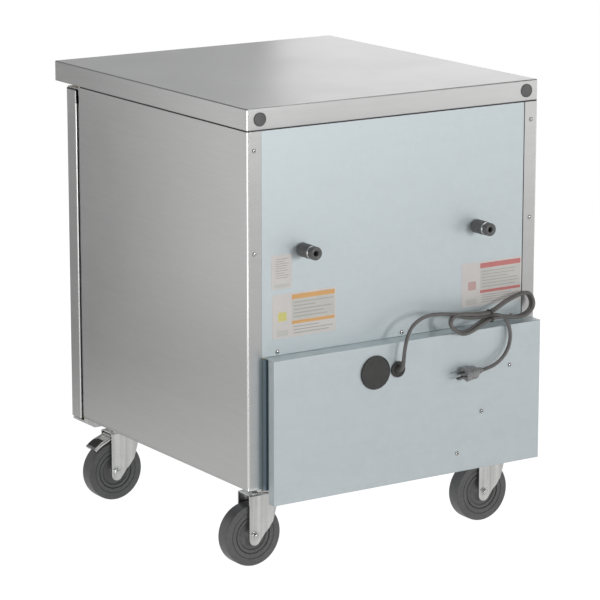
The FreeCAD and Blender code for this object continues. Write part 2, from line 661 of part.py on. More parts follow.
def fork_leg(x, y0, y1):
    """Side plate of the fork: upright on the trailing edge, slanted on the other, round below the axle."""
    axle = x + TRAIL
    foot = 12.5
    low = WHEEL_R - 7
    corners = [V(axle - 9.3, y0, WHEEL_R - 15.4), V(axle - 44, y0, WHEEL_R + 23), V(axle - 50, y0, WHEEL_R + 42),
               V(axle - 56, y0, WHEEL_R + 64), V(axle - 58, y0, 150), V(axle + foot, y0, 150),
               V(axle + foot, y0, low)]
    edges = [Part.makeLine(a, b) for a, b in zip(corners, corners[1:])]
    edges.append(Part.Arc(corners[-1], V(axle, y0, low - foot), corners[0]).toShape())
    return Part.Face(Part.Wire(edges)).extrude(V(0, y1 - y0, 0))


def caster_fork(x, y, braked):
    """Bent plate fork with its boss, and the brake's pivot pin where there is one."""
    axle = x + TRAIL
    crown = box((axle - 58, axle + 12.5), (y - FORK_HALF, y + FORK_HALF), (147, 150))
    boss = rod((x, y, 150), UP, 24, 5)
    legs = [fork_leg(x, y + FORK_HALF - FORK_SHEET, y + FORK_HALF),
            fork_leg(x, y - FORK_HALF, y - FORK_HALF + FORK_SHEET)]
    parts = [boss] + legs
    if braked:
        parts.append(to_rear(axle + BRAKE_PIVOT[0], WHEEL_R + BRAKE_PIVOT[1], y - FORK_HALF, y + FORK_HALF, 2.5))
    fork = crown.fuse(parts).removeSplitter()
    bores = [rod((x, y, 140), UP, KINGPIN_R + RUNNING, 20), to_rear(axle, WHEEL_R, y - 30, y + 30, AXLE_R + 0.1)]
    return cut_all(fork, bores)


def caster_axle(x, y):
    """Through bolt with a head at one end and a nut at the other."""
    half = FORK_HALF
    profile = [(-half - 5, 0), (-half - 5, 7), (-half - 4, 8), (-half, 8), (-half, AXLE_R), (half, AXLE_R), (half, 8),
               (half + 4, 8), (half + 4, AXLE_R), (half + 7, AXLE_R - 0.5), (half + 7, 0)]
    return turned(profile, (x + TRAIL, y, WHEEL_R), REARWARD)


def caster_wheel(x, y):
    """Wheel with a rounded tread, two rings turned in its side and a dished web around the hub."""
    side = [(19.2, AXLE_R + RUNNING), (19.2, 12), (18, 14.5), (12, 16.5), (11, 19), (11, 28), (12.6, 30.5),
            (14.4, 31.5), (14.6, 36.6), (13, 37.4), (13, 38.6), (15.3, 39.8), (15.4, 47.2), (14.7, 47.8), (14.7, 48.4),
            (16, 49.2), (16, 60.8), (15.3, 62.4), (13.6, 63.3), (9, WHEEL_R)]
    profile = side + [(-along, radius) for along, radius in reversed(side)]
    return turned(profile, (x + TRAIL, y, WHEEL_R), REARWARD)


def brake_pedal(x, y):
    """Toe pedal: a barrel on the fork's pin and a short channel over the tread, with a brake shoe under it."""
    axle = V(x + TRAIL, y, WHEEL_R)
    half = 18.6
    rail = 2.6

    def at(radius, degrees, side=half):
        angle = math.radians(degrees)
        return axle + V(radius * math.cos(angle), -side, radius * math.sin(angle))

    def swept(inner, outer, start, end, side):
        middle = (start + end) / 2
        corners = [at(inner, start, side), at(inner, end, side), at(outer, end, side), at(outer, start, side)]
        edges = [
            Part.Arc(corners[0], at(inner, middle, side), corners[1]).toShape(),
            Part.makeLine(corners[1], corners[2]),
            Part.Arc(corners[2], at(outer, middle, side), corners[3]).toShape(),
            Part.makeLine(corners[3], corners[0]),
        ]
        return Part.Face(Part.Wire(edges)).extrude(V(0, 2 * side, 0))

    pivot = axle + V(BRAKE_PIVOT[0], -half, BRAKE_PIVOT[1])
    root = [pivot + V(0, 0, -2), at(68.5, 70), at(76, 66), pivot + V(0, 0, 2.5)]
    lever = Part.Face(Part.makePolygon(root + root[:1])).extrude(V(0, 2 * half, 0))
    channel = swept(68.5, 76, 46, 70, half)
    under = swept(60, 72.5, 49, 68, half - rail)
    above = swept(74.5, 80, 49, 64, half - rail)
    barrel = Part.makeCylinder(4.5, 2 * half, pivot, REARWARD)
    shoe = box((axle.x + 24, axle.x + 30), (y - 12, y + 12), (WHEEL_R + 61, WHEEL_R + 68.5))
    bore = Part.makeCylinder(2.5 + RUNNING, 2 * half + 2, pivot - V(0, 1, 0), REARWARD)
    body = cut_all(lever.fuse([channel, barrel]), [under, above])
    return cut_all(body.fuse(shoe).removeSplitter(), [bore])


# ---------------------------------------------------------------- mains lead

def cord_tube(name, route):
    """Straight runs joined by tangent arcs, as large as the runs beside them allow."""
    points = [V(*point) for point in route]
    edges = []
    start = points[0]
    length = 0
    radii = []
    for before, corner, after in zip(points, points[1:], points[2:]):
        into = (corner - before).normalize()
        out = (after - corner).normalize()
        turn = into.getAngle(out)
        reach = 0.45 * min((corner - before).Length, (after - corner).Length)
        radius = reach / math.tan(turn / 2)
        radii.append(round(radius, 1))
        enter = corner - into * reach
        leave = corner + out * reach
        middle = corner + (out - into).normalize() * (radius / math.cos(turn / 2) - radius)
        edges.append(Part.LineSegment(start, enter).toShape())
        edges.append(Part.Arc(enter, middle, leave).toShape())
        length += (enter - start).Length + radius * turn
        start = leave
    edges.append(Part.LineSegment(start, points[-1]).toShape())
    length += (points[-1] - start).Length
    ring = Part.Wire([Part.Circle(points[0], points[1] - points[0], CORD_R).toShape()])
    tube = Part.Wire(edges).makePipeShell([ring], True, False)
    share = tube.Volume / (math.pi * CORD_R ** 2 * length)
    print(name, "length", round(length), "radii", radii, "volume share", round(share, 4))
    return tube


def hank_plane(x, z):
    """Y of the leaning plane that the hank lies in."""
    return 69.5 + 0.1438 * x - 0.1557 * (z - 433)


def cord_hank():
    """Outer shape of the two tied turns of lead."""
    corners = [V(x, hank_plane(x, z) - HANK_HALF, z) for x, z in HANK]
    return Part.Face(Part.makePolygon(corners + corners[:1])).extrude(V(0, 2 * HANK_HALF, 0))


def cord_tie(hank):
    """Twist tie around the hank's waist."""
    y = hank_plane(TIE_X, 458)
    band = box((TIE_X - 2.5, TIE_X + 2.5), (y - HANK_HALF - 3, y + HANK_HALF + 3), (444.5, 471.5))
    return band.cut(hank)


def power_plug():
    """Moulded plug body with its nose for the lead, two blades and an earth pin."""
    end = V(*TAIL[-1])
    body = box((-2, 30), (-11, 11), (-13, 13))
    body = body.makeFillet(5, [edge for edge in body.Edges if edge.BoundBox.XLength > 1])
    nose = Part.makeCone(5.2, 8.5, 14, V(-14, 0, 0), V(1, 0, 0))
    blades = [box((30, 47), (y - 0.75, y + 0.75), (-1, 5.3)) for y in (-6.35, 6.35)]
    earth = rod((29, 0, -7.5), V(1, 0, 0), 2.4, 20)
    plug = body.fuse([nose] + blades + [earth]).removeSplitter()
    plug.rotate(V(0, 0, 0), V(1, 0, 0), 70)
    plug.rotate(V(0, 0, 0), V(0, 1, 0), 6)
    return plug.translated(end + V(11, 0, -0.8))


os.makedirs("parts", exist_ok=True)

export("worktop", worktop())
export("hole_plugs", *worktop_plugs(), blanking_plug())
export("side_panel_left", side_panel(1))
export("side_panel_right", side_panel(-1))
export("back_panel", back_panel())
export("base_pan", base_pan())
export("insulation", *insulation())
export("cabinet_liner", cabinet_liner())
export("machine_housing", machine_housing())
export("front_frame", front_frame())

export("rear_cover", rear_cover())
export("cover_frame", cover_frame())
export("pan_head_screws", *pan_head_screws())
export("cable_grommet", cable_grommet())
export("wall_spacers", *[wall_spacer(x, z) for x, z in SPACERS], *spacer_bolts())
export("rear_labels", *rear_labels())

export("compressor", compressor(), *compressor_feet())
export("condenser_coil", condenser_coil())
export("fan_motors", fan_motor(CONDENSER_FAN, 40, 90, BASE_HIGH), fan_motor(ROOM_FAN, 30, 60, ROOM_HIGH))
export("condenser_fan", fan_blades(CONDENSER_FAN, 72, 5))

export("air_duct_cover", air_duct_cover())
export("evaporator_coil", evaporator_coil())
export("room_fan", fan_blades(ROOM_FAN, 44, 5))
export("humidity_pan", humidity_pan())
export("pan_heater", pan_heater())
export("control_box", control_box())
export("temperature_knob", temperature_knob())
export("power_switch", power_switch())
export("pilasters", *pilasters())
export("shelf_clips", *shelf_clips())
for shelf, (height, rear_edge) in SHELVES.items():
    export(shelf, wire_shelf(height, rear_edge))

export("door_skin", door_skin())
export("door_foam", door_foam())
export("door_liner", door_liner())
export("door_gasket", door_gasket())
export("door_handle", door_handle())
export("hinge_bushes", *hinge_bushes())
export("hinge_brackets", upper_hinge(), lower_hinge())

export("caster_mounts", *[caster_plate(x, y) for x, y in CASTERS.values()], *caster_bolts())
for place, (swivel_x, swivel_y) in CASTERS.items():
    export("fork_" + place, caster_fork(swivel_x, swivel_y, place in BRAKED))
    export("axle_" + place, caster_axle(swivel_x, swivel_y))
    export("wheel_" + place, caster_wheel(swivel_x, swivel_y))
for place in BRAKED:
    export("brake_" + place, brake_pedal(*CASTERS[place]))

tied_hank = cord_hank()
export("cord_lead", cord_tube("lead", LEAD))
export("cord_hank", tied_hank)
export("cord_tail", cord_tube("tail", TAIL))
export("cord_tie", cord_tie(tied_hank))
export("power_plug", power_plug())
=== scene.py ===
"""Looks of the proofing cabinet: materials, detailed pieces, the mains lead, studio and camera.

Pieces are built in cabinet millimetres (centre plane X = 0, rear face Y = 0, floor Z = 0, hinge side +X)
and turned into row-frame metres when they are finished.
"""
import json
from math import copysign, cos, pi, radians, sin, sqrt

import bmesh
import bpy
from mathutils import Matrix, Vector

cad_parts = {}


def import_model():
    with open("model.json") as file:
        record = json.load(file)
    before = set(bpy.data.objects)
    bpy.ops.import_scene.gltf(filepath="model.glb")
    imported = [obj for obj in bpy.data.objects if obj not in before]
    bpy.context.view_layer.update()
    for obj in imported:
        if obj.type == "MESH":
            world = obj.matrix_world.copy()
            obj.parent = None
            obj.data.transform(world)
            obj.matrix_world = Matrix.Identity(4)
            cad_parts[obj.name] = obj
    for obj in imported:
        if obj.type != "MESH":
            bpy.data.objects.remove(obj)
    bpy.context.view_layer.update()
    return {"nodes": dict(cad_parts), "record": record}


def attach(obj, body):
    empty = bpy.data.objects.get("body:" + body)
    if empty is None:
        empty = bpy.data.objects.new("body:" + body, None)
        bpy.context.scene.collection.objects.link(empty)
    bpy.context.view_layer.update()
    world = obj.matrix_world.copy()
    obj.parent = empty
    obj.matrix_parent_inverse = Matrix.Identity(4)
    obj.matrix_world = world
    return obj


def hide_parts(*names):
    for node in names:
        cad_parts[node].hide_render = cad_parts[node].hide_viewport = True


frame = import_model()
scene = bpy.context.scene

ORIGIN = Vector((14.6, -355.5, 0.0))
MM = 0.001
X_AXIS, Y_AXIS, Z_AXIS = Vector((1, 0, 0)), Vector((0, 1, 0)), Vector((0, 0, 1))

# Faces and sizes that several pieces share, in cabinet millimetres.
HALF_WIDTH, TOP_DEPTH = 349.25, 761.0
TOP_UNDER, TOP_FACE = 883.95, 926.0
UPRIGHT_R = 4.6  # bend of the upright corners of the worktop and side panels
SHEET = 0.8  # gauge of the side panels and the door
PANEL_FRONT, PANEL_FOOT, PANEL_HEAD = -656.9, 168.0, 881.6
BACK_Y, COVER_Y = -0.8, 38.0  # outer faces of the back panel and of the cover under it
DOOR_FRONT, DOOR_REAR, DOOR_FOOT = -710.0, -671.0, 164.0
GRIP_FOOT, GRIP_HEAD = 846.0, 876.0


def at(x, y, z):
    """A point in cabinet millimetres, in row-frame metres."""
    return (Vector((x, y, z)) - ORIGIN) * MM


def add(name, data):
    """A new object in the scene."""
    thing = bpy.data.objects.new(name, data)
    scene.collection.objects.link(thing)
    return thing


def circle(count):
    """Angles, in radians, that share out a full turn."""
    return [2 * pi * i / count for i in range(count)]


def evaluated(thing):
    """A mesh of a thing with its modifiers applied."""
    return bpy.data.meshes.new_from_object(thing.evaluated_get(bpy.context.evaluated_depsgraph_get()))


def rectangle(a, b):
    """Corners of a rectangle from its two spans."""
    return [(a[0], b[0]), (a[1], b[0]), (a[1], b[1]), (a[0], b[1])]


def level(outline, z):
    """An outline in plan, as points at one height."""
    return [(x, y, z) for x, y in outline]


# ---- node graphs

class Graph:
    """The nodes of a material or a world, each made with its inputs fed."""

    def __init__(self, owner):
        owner.use_nodes = True
        self.owner = owner
        self.tree = owner.node_tree
        self.place = self.node("TexCoord").outputs

    def feed(self, socket, value):
        if isinstance(value, bpy.types.NodeSocket):
            self.tree.links.new(value, socket)
        else:
            socket.default_value = value

    def node(self, kind, inputs=None, **settings):
        node = self.tree.nodes.new("ShaderNode" + kind)
        for key, value in settings.items():
            setattr(node, key, value)
        for key, value in (inputs or {}).items():
            self.feed(node.inputs[key], value)
        return node

    def set(self, **inputs):
        """Feed the principled shader's own inputs."""
        shader = self.tree.nodes["Principled BSDF"]
        for key, value in inputs.items():
            self.feed(shader.inputs[key.replace("_", " ")], value)

    def noise(self, scale, detail=3.0, rough=0.55):
        """Noise on the piece's own place; three scales stretch it along the axes."""
        scales = scale if hasattr(scale, "__len__") else (scale,) * 3
        place = self.node("VectorMath", {0: self.place["Object"], 1: scales}, operation="MULTIPLY").outputs[0]
        node = self.node("TexNoise", {"Vector": place, "Scale": 1.0, "Detail": detail, "Roughness": rough})
        return node.outputs[0]

    def cells(self, scale, feature="F1"):
        node = self.node("TexVoronoi", {"Vector": self.place["Object"], "Scale": scale}, feature=feature)
        return node.outputs

    def ranged(self, value, low, high, start=0.3, end=0.7):
        """The value's span from start to end, as low to high."""
        node = self.node("MapRange", {0: value, 1: start, 2: end, 3: low, 4: high})
        return node.outputs[0]

    def math(self, operation, a, b=0.0):
        return self.node("Math", {0: a, 1: b}, operation=operation).outputs[0]

    def blend(self, *parts):
        """The sum of values, each times its share."""
        terms = [self.math("MULTIPLY", value, share) for value, share in parts]
        total = terms[0]
        for term in terms[1:]:
            total = self.math("ADD", total, term)
        return total

    def ramp(self, value, stops):
        """A colour ramp through stops of position and colour."""
        node = self.node("ValToRGB", {0: value})
        elements = node.color_ramp.elements
        while len(elements) < len(stops):
            elements.new(0.5)
        for element, (position, tone) in zip(elements, stops):
            element.position = position
            element.color = (*tone, 1)
        return node.outputs[0]

    def tones(self, value, tone, dark, light, start=0.3, end=0.7):
        """From a dark share of the tone to a light one."""
        return self.ramp(value, [(start, shade(tone, dark)), (end, shade(tone, light))])

    def mixed(self, factor, a, b):
        """Two colours mixed."""
        return self.node("Mix", {0: factor, 6: a, 7: b}, data_type="RGBA").outputs[2]

    def chosen(self, factor, a, b):
        """Two values mixed."""
        return self.node("Mix", {0: factor, 2: a, 3: b}, data_type="FLOAT").outputs[0]

    def bump(self, height, strength, distance):
        node = self.node("Bump", {"Height": height, "Strength": strength, "Distance": distance})
        self.set(Normal=node.outputs[0])

    def split(self, seen, lit, output):
        """One shader for what the camera sees, another for everything else."""
        camera_ray = self.node("LightPath").outputs["Is Camera Ray"]
        mix = self.node("MixShader", {0: camera_ray, 1: lit.outputs[0], 2: seen.outputs[0]})
        self.tree.links.new(mix.outputs[0], self.tree.nodes[output].inputs["Surface"])


def shade(tone, share):
    return tuple(min(1.0, part * share) for part in tone)


# ---- camera and light

CAMERA_PLACE = (3.3885, 5.2016, 1.87263)
CAMERA_YAW, CAMERA_PITCH = 0.58, 0.2263  # radians: looking from the rear left, and down
CAMERA_LENS = 182.47
SKY_LOW, SKY_HIGH = 0.28, 0.13  # strength of the surroundings near the horizon and overhead
KEY_WATTS = 51

# Softboxes: place, target, width and height, all in metres, and evenness of glow.
CARDS = {
    "rear_right": ((-2.65, 2.35, 0.95), (-0.1, 0.36, 0.5), (2.2, 1.8), 0.72),
    "right": ((-2.2, -1.7, 1.6), (0, 0, 0.95), (2.1, 2.0), 0.86),
    "far_right": ((-1.15, -2.8, 1.6), (0, 0, 0.95), (0.9, 2.0), 0.28),
    "above": ((-0.3, 1.3, 2.4), (-0.1, 0.1, 0.45), (1.6, 1.2), 1.5),
    "front_left": ((1.56, -1.06, 0.62), (0.3, 0.0, 0.55), (1.0, 1.2), 0.64),
    "rear_left": ((2.2, 1.7, 0.4), (0.33, 0.36, 0.4), (1.3, 0.9), 3.0),
    "front": ((0.3, -3.6, 0.7), (0, 0, 0.5), (2.4, 1.3), 0.72),
}


def camera():
    data = bpy.data.cameras.new("camera")
    data.sensor_width, data.lens, data.clip_end = 36.0, CAMERA_LENS, 60.0
    view = add("camera", data)
    view.location = CAMERA_PLACE
    run = cos(CAMERA_PITCH)
    forward = Vector((-sin(CAMERA_YAW) * run, -cos(CAMERA_YAW) * run, -sin(CAMERA_PITCH)))
    view.rotation_euler = forward.to_track_quat("-Z", "Y").to_euler()
    scene.camera = view


def area_light(name, place, target, size, power):
    data = bpy.data.lights.new(name, "AREA")
    data.shape = "RECTANGLE"
    data.size, data.size_y = size
    data.energy = power
    lamp = add(name, data)
    lamp.location = place
    lamp.rotation_euler = (Vector(target) - Vector(place)).to_track_quat("-Z", "Y").to_euler()
    return lamp


def world():
    """White behind the object, and a softer grey all round for what the metal reflects."""
    g = Graph(bpy.data.worlds.new("studio"))
    height = g.node("SeparateXYZ", {0: g.place["Generated"]}).outputs[2]
    grey = g.tree.nodes["Background"]
    g.feed(grey.inputs["Color"], (0.98, 0.99, 1.0, 1))
    g.feed(grey.inputs["Strength"], g.ranged(height, SKY_LOW, SKY_HIGH, 0.25, 0.6))
    white = g.node("Background", {"Color": (1, 1, 1, 1), "Strength": 1.0})
    g.split(white, grey, "World Output")
    scene.world = g.owner


def studio():
    """A key light behind the camera, and softboxes of even brightness that the camera doesn't see."""
    area_light("key", (-1.3, 5.2, 1.2), (0, 0.3, 0.5), (0.9, 0.9), KEY_WATTS)
    for name, (place, target, size, glow) in CARDS.items():
        area_light(name, place, target, size, glow * pi * size[0] * size[1]).visible_camera = False
    scene.view_settings.view_transform = "Standard"


# ---- materials

def brushed(g, tone, low, high, vary=0.028):
    """Stainless sheet: brush lines that turn with the face, faint streaks and marks, and smoother upright bends with
    a painted highlight.
    """
    facing = g.node("SeparateXYZ", {0: g.place["Normal"]}).outputs
    across, along = g.math("ABSOLUTE", facing[0]), g.math("ABSOLUTE", facing[1])
    sideways = g.math("GREATER_THAN", across, 0.5)
    # The upright bends, faces turned between the two upright axes, are where the highlight is painted.
    bend = g.ranged(g.math("MULTIPLY", across, along), 0, 1, 0.1, 0.3)
    fine = g.chosen(sideways, g.noise((22, 560, 560), 2), g.noise((560, 22, 560), 2))
    wide = g.chosen(sideways, g.noise((3, 190, 190), 3), g.noise((190, 3, 190), 3))
    marks = g.noise(5.0, 4, 0.6)
    grain = g.blend((fine, 0.65), (wide, 0.35))
    colour = g.tones(grain, tone, 1 - vary, 1 + vary, 0.36, 0.64)
    colour = g.mixed(g.ranged(marks, 0, 0.3), colour, (*shade(tone, 1 - vary), 1))
    # Painted highlight: the upright bends take a lighter colour; below, they also get a lower roughness.
    g.set(Base_Color=g.mixed(bend, colour, (*shade(tone, 1.45), 1)))
    rough = g.math("ADD", g.ranged(grain, low, high), g.ranged(marks, -0.02, 0.02))
    g.set(Metallic=1.0, Roughness=g.chosen(bend, rough, 0.22))
    g.bump(wide, 0.03, 0.0002)


def galvanised(g, tone, low, high):
    """Zinc-coated sheet: pale, with a faint spangle and cloudy patches."""
    spangle = g.node("SeparateColor", {0: g.cells(75.0)["Color"]}).outputs[0]
    clouds = g.noise((2.5, 2.5, 7.0), 5, 0.6)
    rolled = g.noise((2.0, 2.0, 420.0), 3)
    mix = g.blend((spangle, 0.2), (clouds, 0.3), (rolled, 0.5))
    g.set(Base_Color=g.tones(mix, tone, 0.975, 1.025), Metallic=0.85, Roughness=g.ranged(mix, low, high))
    g.bump(mix, 0.05, 0.0002)


def plated(g, tone, low, high, scale):
    """Bright zinc plate on pressed steel: cloudy shine, fine die marks and dulled spots."""
    clouds = g.noise(scale, 4, 0.6)
    die = g.noise((110, 110, 2.5), 3)
    spots = g.cells(420.0)["Distance"]
    worn = g.blend((clouds, 0.35), (die, 0.65))
    g.set(Base_Color=g.tones(worn, tone, 0.78, 1.06, 0.38, 0.62))
    g.set(Metallic=1.0, Roughness=g.math("ADD", g.ranged(worn, low, high), g.ranged(spots, 0.04, 0.0, 0.0, 0.3)))
    g.bump(worn, 0.04, 0.0003)


def moulded(g, tone, low, high, grain=900.0, gloss=0.5, vary=0.18):
    """Moulded plastic or rubber: fine pebbled grain, flow marks and light scuffs."""
    pebble = g.cells(grain, "SMOOTH_F1")["Distance"]
    flow = g.noise(35.0, 4, 0.6)
    scuff = g.ranged(g.noise((60, 400, 60), 3), 0.0, 0.6, 0.58, 0.74)
    g.set(Base_Color=g.mixed(scuff, g.tones(flow, tone, 1 - vary, 1 + vary), (*shade(tone, 1.6), 1)))
    g.set(Roughness=g.ranged(flow, low, high), Specular_IOR_Level=gloss)
    g.bump(pebble, 0.25, 0.00025)


def rubbed_tread(g, tone):
    """Hard grey rubber: matt, with dust in the grain and faint rubbed patches."""
    dust = g.noise(140.0, 5, 0.65)
    g.set(Base_Color=g.tones(g.blend((dust, 0.6), (g.noise(22.0, 3), 0.4)), tone, 0.78, 1.22))
    g.set(Roughness=g.ranged(dust, 0.28, 0.42), Specular_IOR_Level=0.5)
    g.bump(dust, 0.12, 0.0003)


def jacket(g, tone):
    """Extruded lead jacket: slight shine, drawn lines along it and dust."""
    dust = g.noise(220.0, 4, 0.6)
    g.set(Base_Color=g.tones(g.blend((dust, 0.5), (g.noise(45.0, 2), 0.5)), tone, 0.8, 1.25))
    g.set(Roughness=g.ranged(dust, 0.28, 0.42), Specular_IOR_Level=0.6)
    g.bump(dust, 0.1, 0.0002)


def enamel(g, tone, low=0.22, high=0.38):
    """Sprayed paint: orange-peel ripple and small tone changes."""
    patches = g.noise(12.0, 4)
    g.set(Base_Color=g.tones(patches, tone, 0.88, 1.1), Roughness=g.ranged(patches, low, high))
    g.set(Specular_IOR_Level=0.5)
    g.bump(g.noise(420.0, 2), 0.12, 0.0003)


def film(g, tone):
    """Printed vinyl film: slight mottling and a soft sheen."""
    mottle = g.noise(500.0, 3)
    g.set(Base_Color=g.tones(g.blend((mottle, 0.4), (g.noise(25.0, 3), 0.6)), tone, 0.93, 1.05))
    g.set(Roughness=g.ranged(mottle, 0.35, 0.5))
    g.bump(mottle, 0.04, 0.0001)


def foamed(g, tone):
    """Cut foam: pores and blotches."""
    pores = g.cells(700.0)["Distance"]
    g.set(Base_Color=g.tones(g.blend((pores, 0.4), (g.noise(18.0, 4), 0.6)), tone, 0.8, 1.1), Roughness=0.95)
    g.bump(pores, 0.5, 0.0005)


# Brightness of the floor in reflections: share of the way from the far front to the far rear, and level.
FLOOR_LEVELS = ((0.06, 0.25), (0.21, 0.25), (0.31, 0.50), (0.42, 0.64), (0.62, 0.66), (0.95, 0.48))
FLOOR_GLOW = 0.965
FLOOR_SPAN = (-14, 14)


def studio_floor(g):
    """Pale floor: near white to the camera with a faint shadow, greyer towards the front in reflections."""
    paint = g.node("BsdfDiffuse", {"Color": g.tones(g.noise(1.2, 3), (0.25, 0.25, 0.25), 0.96, 1.04)})
    glow = g.node("Emission", {"Color": (1, 1, 1, 1), "Strength": FLOOR_GLOW})
    seen = g.node("AddShader", {0: paint.outputs[0], 1: glow.outputs[0]})
    depth = g.node("SeparateXYZ", {0: g.place["Object"]}).outputs[1]
    levels = g.ramp(g.ranged(depth, 0.0, 1.0, -2.5, 2.5), [(where, (share,) * 3) for where, share in FLOOR_LEVELS])
    lit = g.node("Emission", {"Color": levels, "Strength": 1.0})
    g.split(seen, lit, "Material Output")


def material(name, make, *values):
    g = Graph(bpy.data.materials.new(name))
    make(g, *values)
    return g.owner


# Each finish: its kind, its tone, and where they differ its lowest and highest roughness, grain and variation.
FINISHES = {
    "stainless": (brushed, (0.62, 0.62, 0.615), 0.29, 0.325),
    "galvanised": (galvanised, (0.615, 0.675, 0.695), 0.42, 0.5),
    "zinc_plate": (plated, (0.78, 0.78, 0.77), 0.2, 0.24, 20.0),
    "liner_aluminium": (brushed, (0.74, 0.75, 0.76), 0.36, 0.46, 0.03),
    "foam": (foamed, (0.83, 0.72, 0.42)),
    "black_plastic": (moulded, (0.045, 0.044, 0.043), 0.38, 0.55),
    "white_plastic": (moulded, (0.72, 0.73, 0.735), 0.35, 0.5, 700.0, 0.4, 0.03),
    "grey_plastic": (moulded, (0.115, 0.115, 0.115), 0.3, 0.45),
    # Black rubber of the door gasket; the same finish paints shadow in the dark strips at the rear flanges and under
    # the worktop.
    "gasket_rubber": (moulded, (0.05, 0.05, 0.052), 0.5, 0.65, 1100.0, 0.35),
    "caster_tread": (rubbed_tread, (0.115, 0.115, 0.115)),
    "black_enamel": (enamel, (0.02, 0.02, 0.021)),
    "fin_aluminium": (plated, (0.72, 0.73, 0.74), 0.35, 0.5, 30.0),
    "shelf_epoxy": (enamel, (0.55, 0.56, 0.57), 0.3, 0.42),
    "heater_plate": (plated, (0.42, 0.42, 0.43), 0.45, 0.6, 20.0),
    "cord_jacket": (jacket, (0.13, 0.125, 0.12)),
    # Dark plate for the plug's blades, and painted shade in the screws' recesses, rims and undersides.
    "dark_plate_and_painted_shade": (plated, (0.16, 0.16, 0.16), 0.3, 0.4, 20.0),
    # Painted shade: galvanised sheet made darker for the cover's shadow on the cover frame.
    "frame_painted_shade": (galvanised, (0.20, 0.27, 0.31), 0.42, 0.5),
    "plug_face": (moulded, (0.26, 0.26, 0.26), 0.3, 0.45),
}
FILM_TONES = {
    "label_film": (0.72, 0.69, 0.665),
    "print_orange": (0.78, 0.44, 0.17),
    "print_red": (0.62, 0.22, 0.21),
    "print_yellow": (0.74, 0.69, 0.24),
    "print_rule": (0.47, 0.46, 0.44),
    "print_tint": (0.63, 0.62, 0.585),
    "print_blush": (0.62, 0.42, 0.40),
}
FINISH = {name: material(name, *values) for name, values in FINISHES.items()}
FINISH |= {name: material(name, film, tone) for name, tone in FILM_TONES.items()}


def dress_cad():
    """Give every CAD node its finish."""
    for part in frame["record"]["subparts"]:
        for place in frame["nodes"][part["node"]].material_slots:
            # The cover frame takes the darker galvanised finish, painted shade for the cover's shadow on it.
            place.material = FINISH["frame_painted_shade" if part["node"] == "cover_frame" else part["material_slot"]]


# ---- mesh building

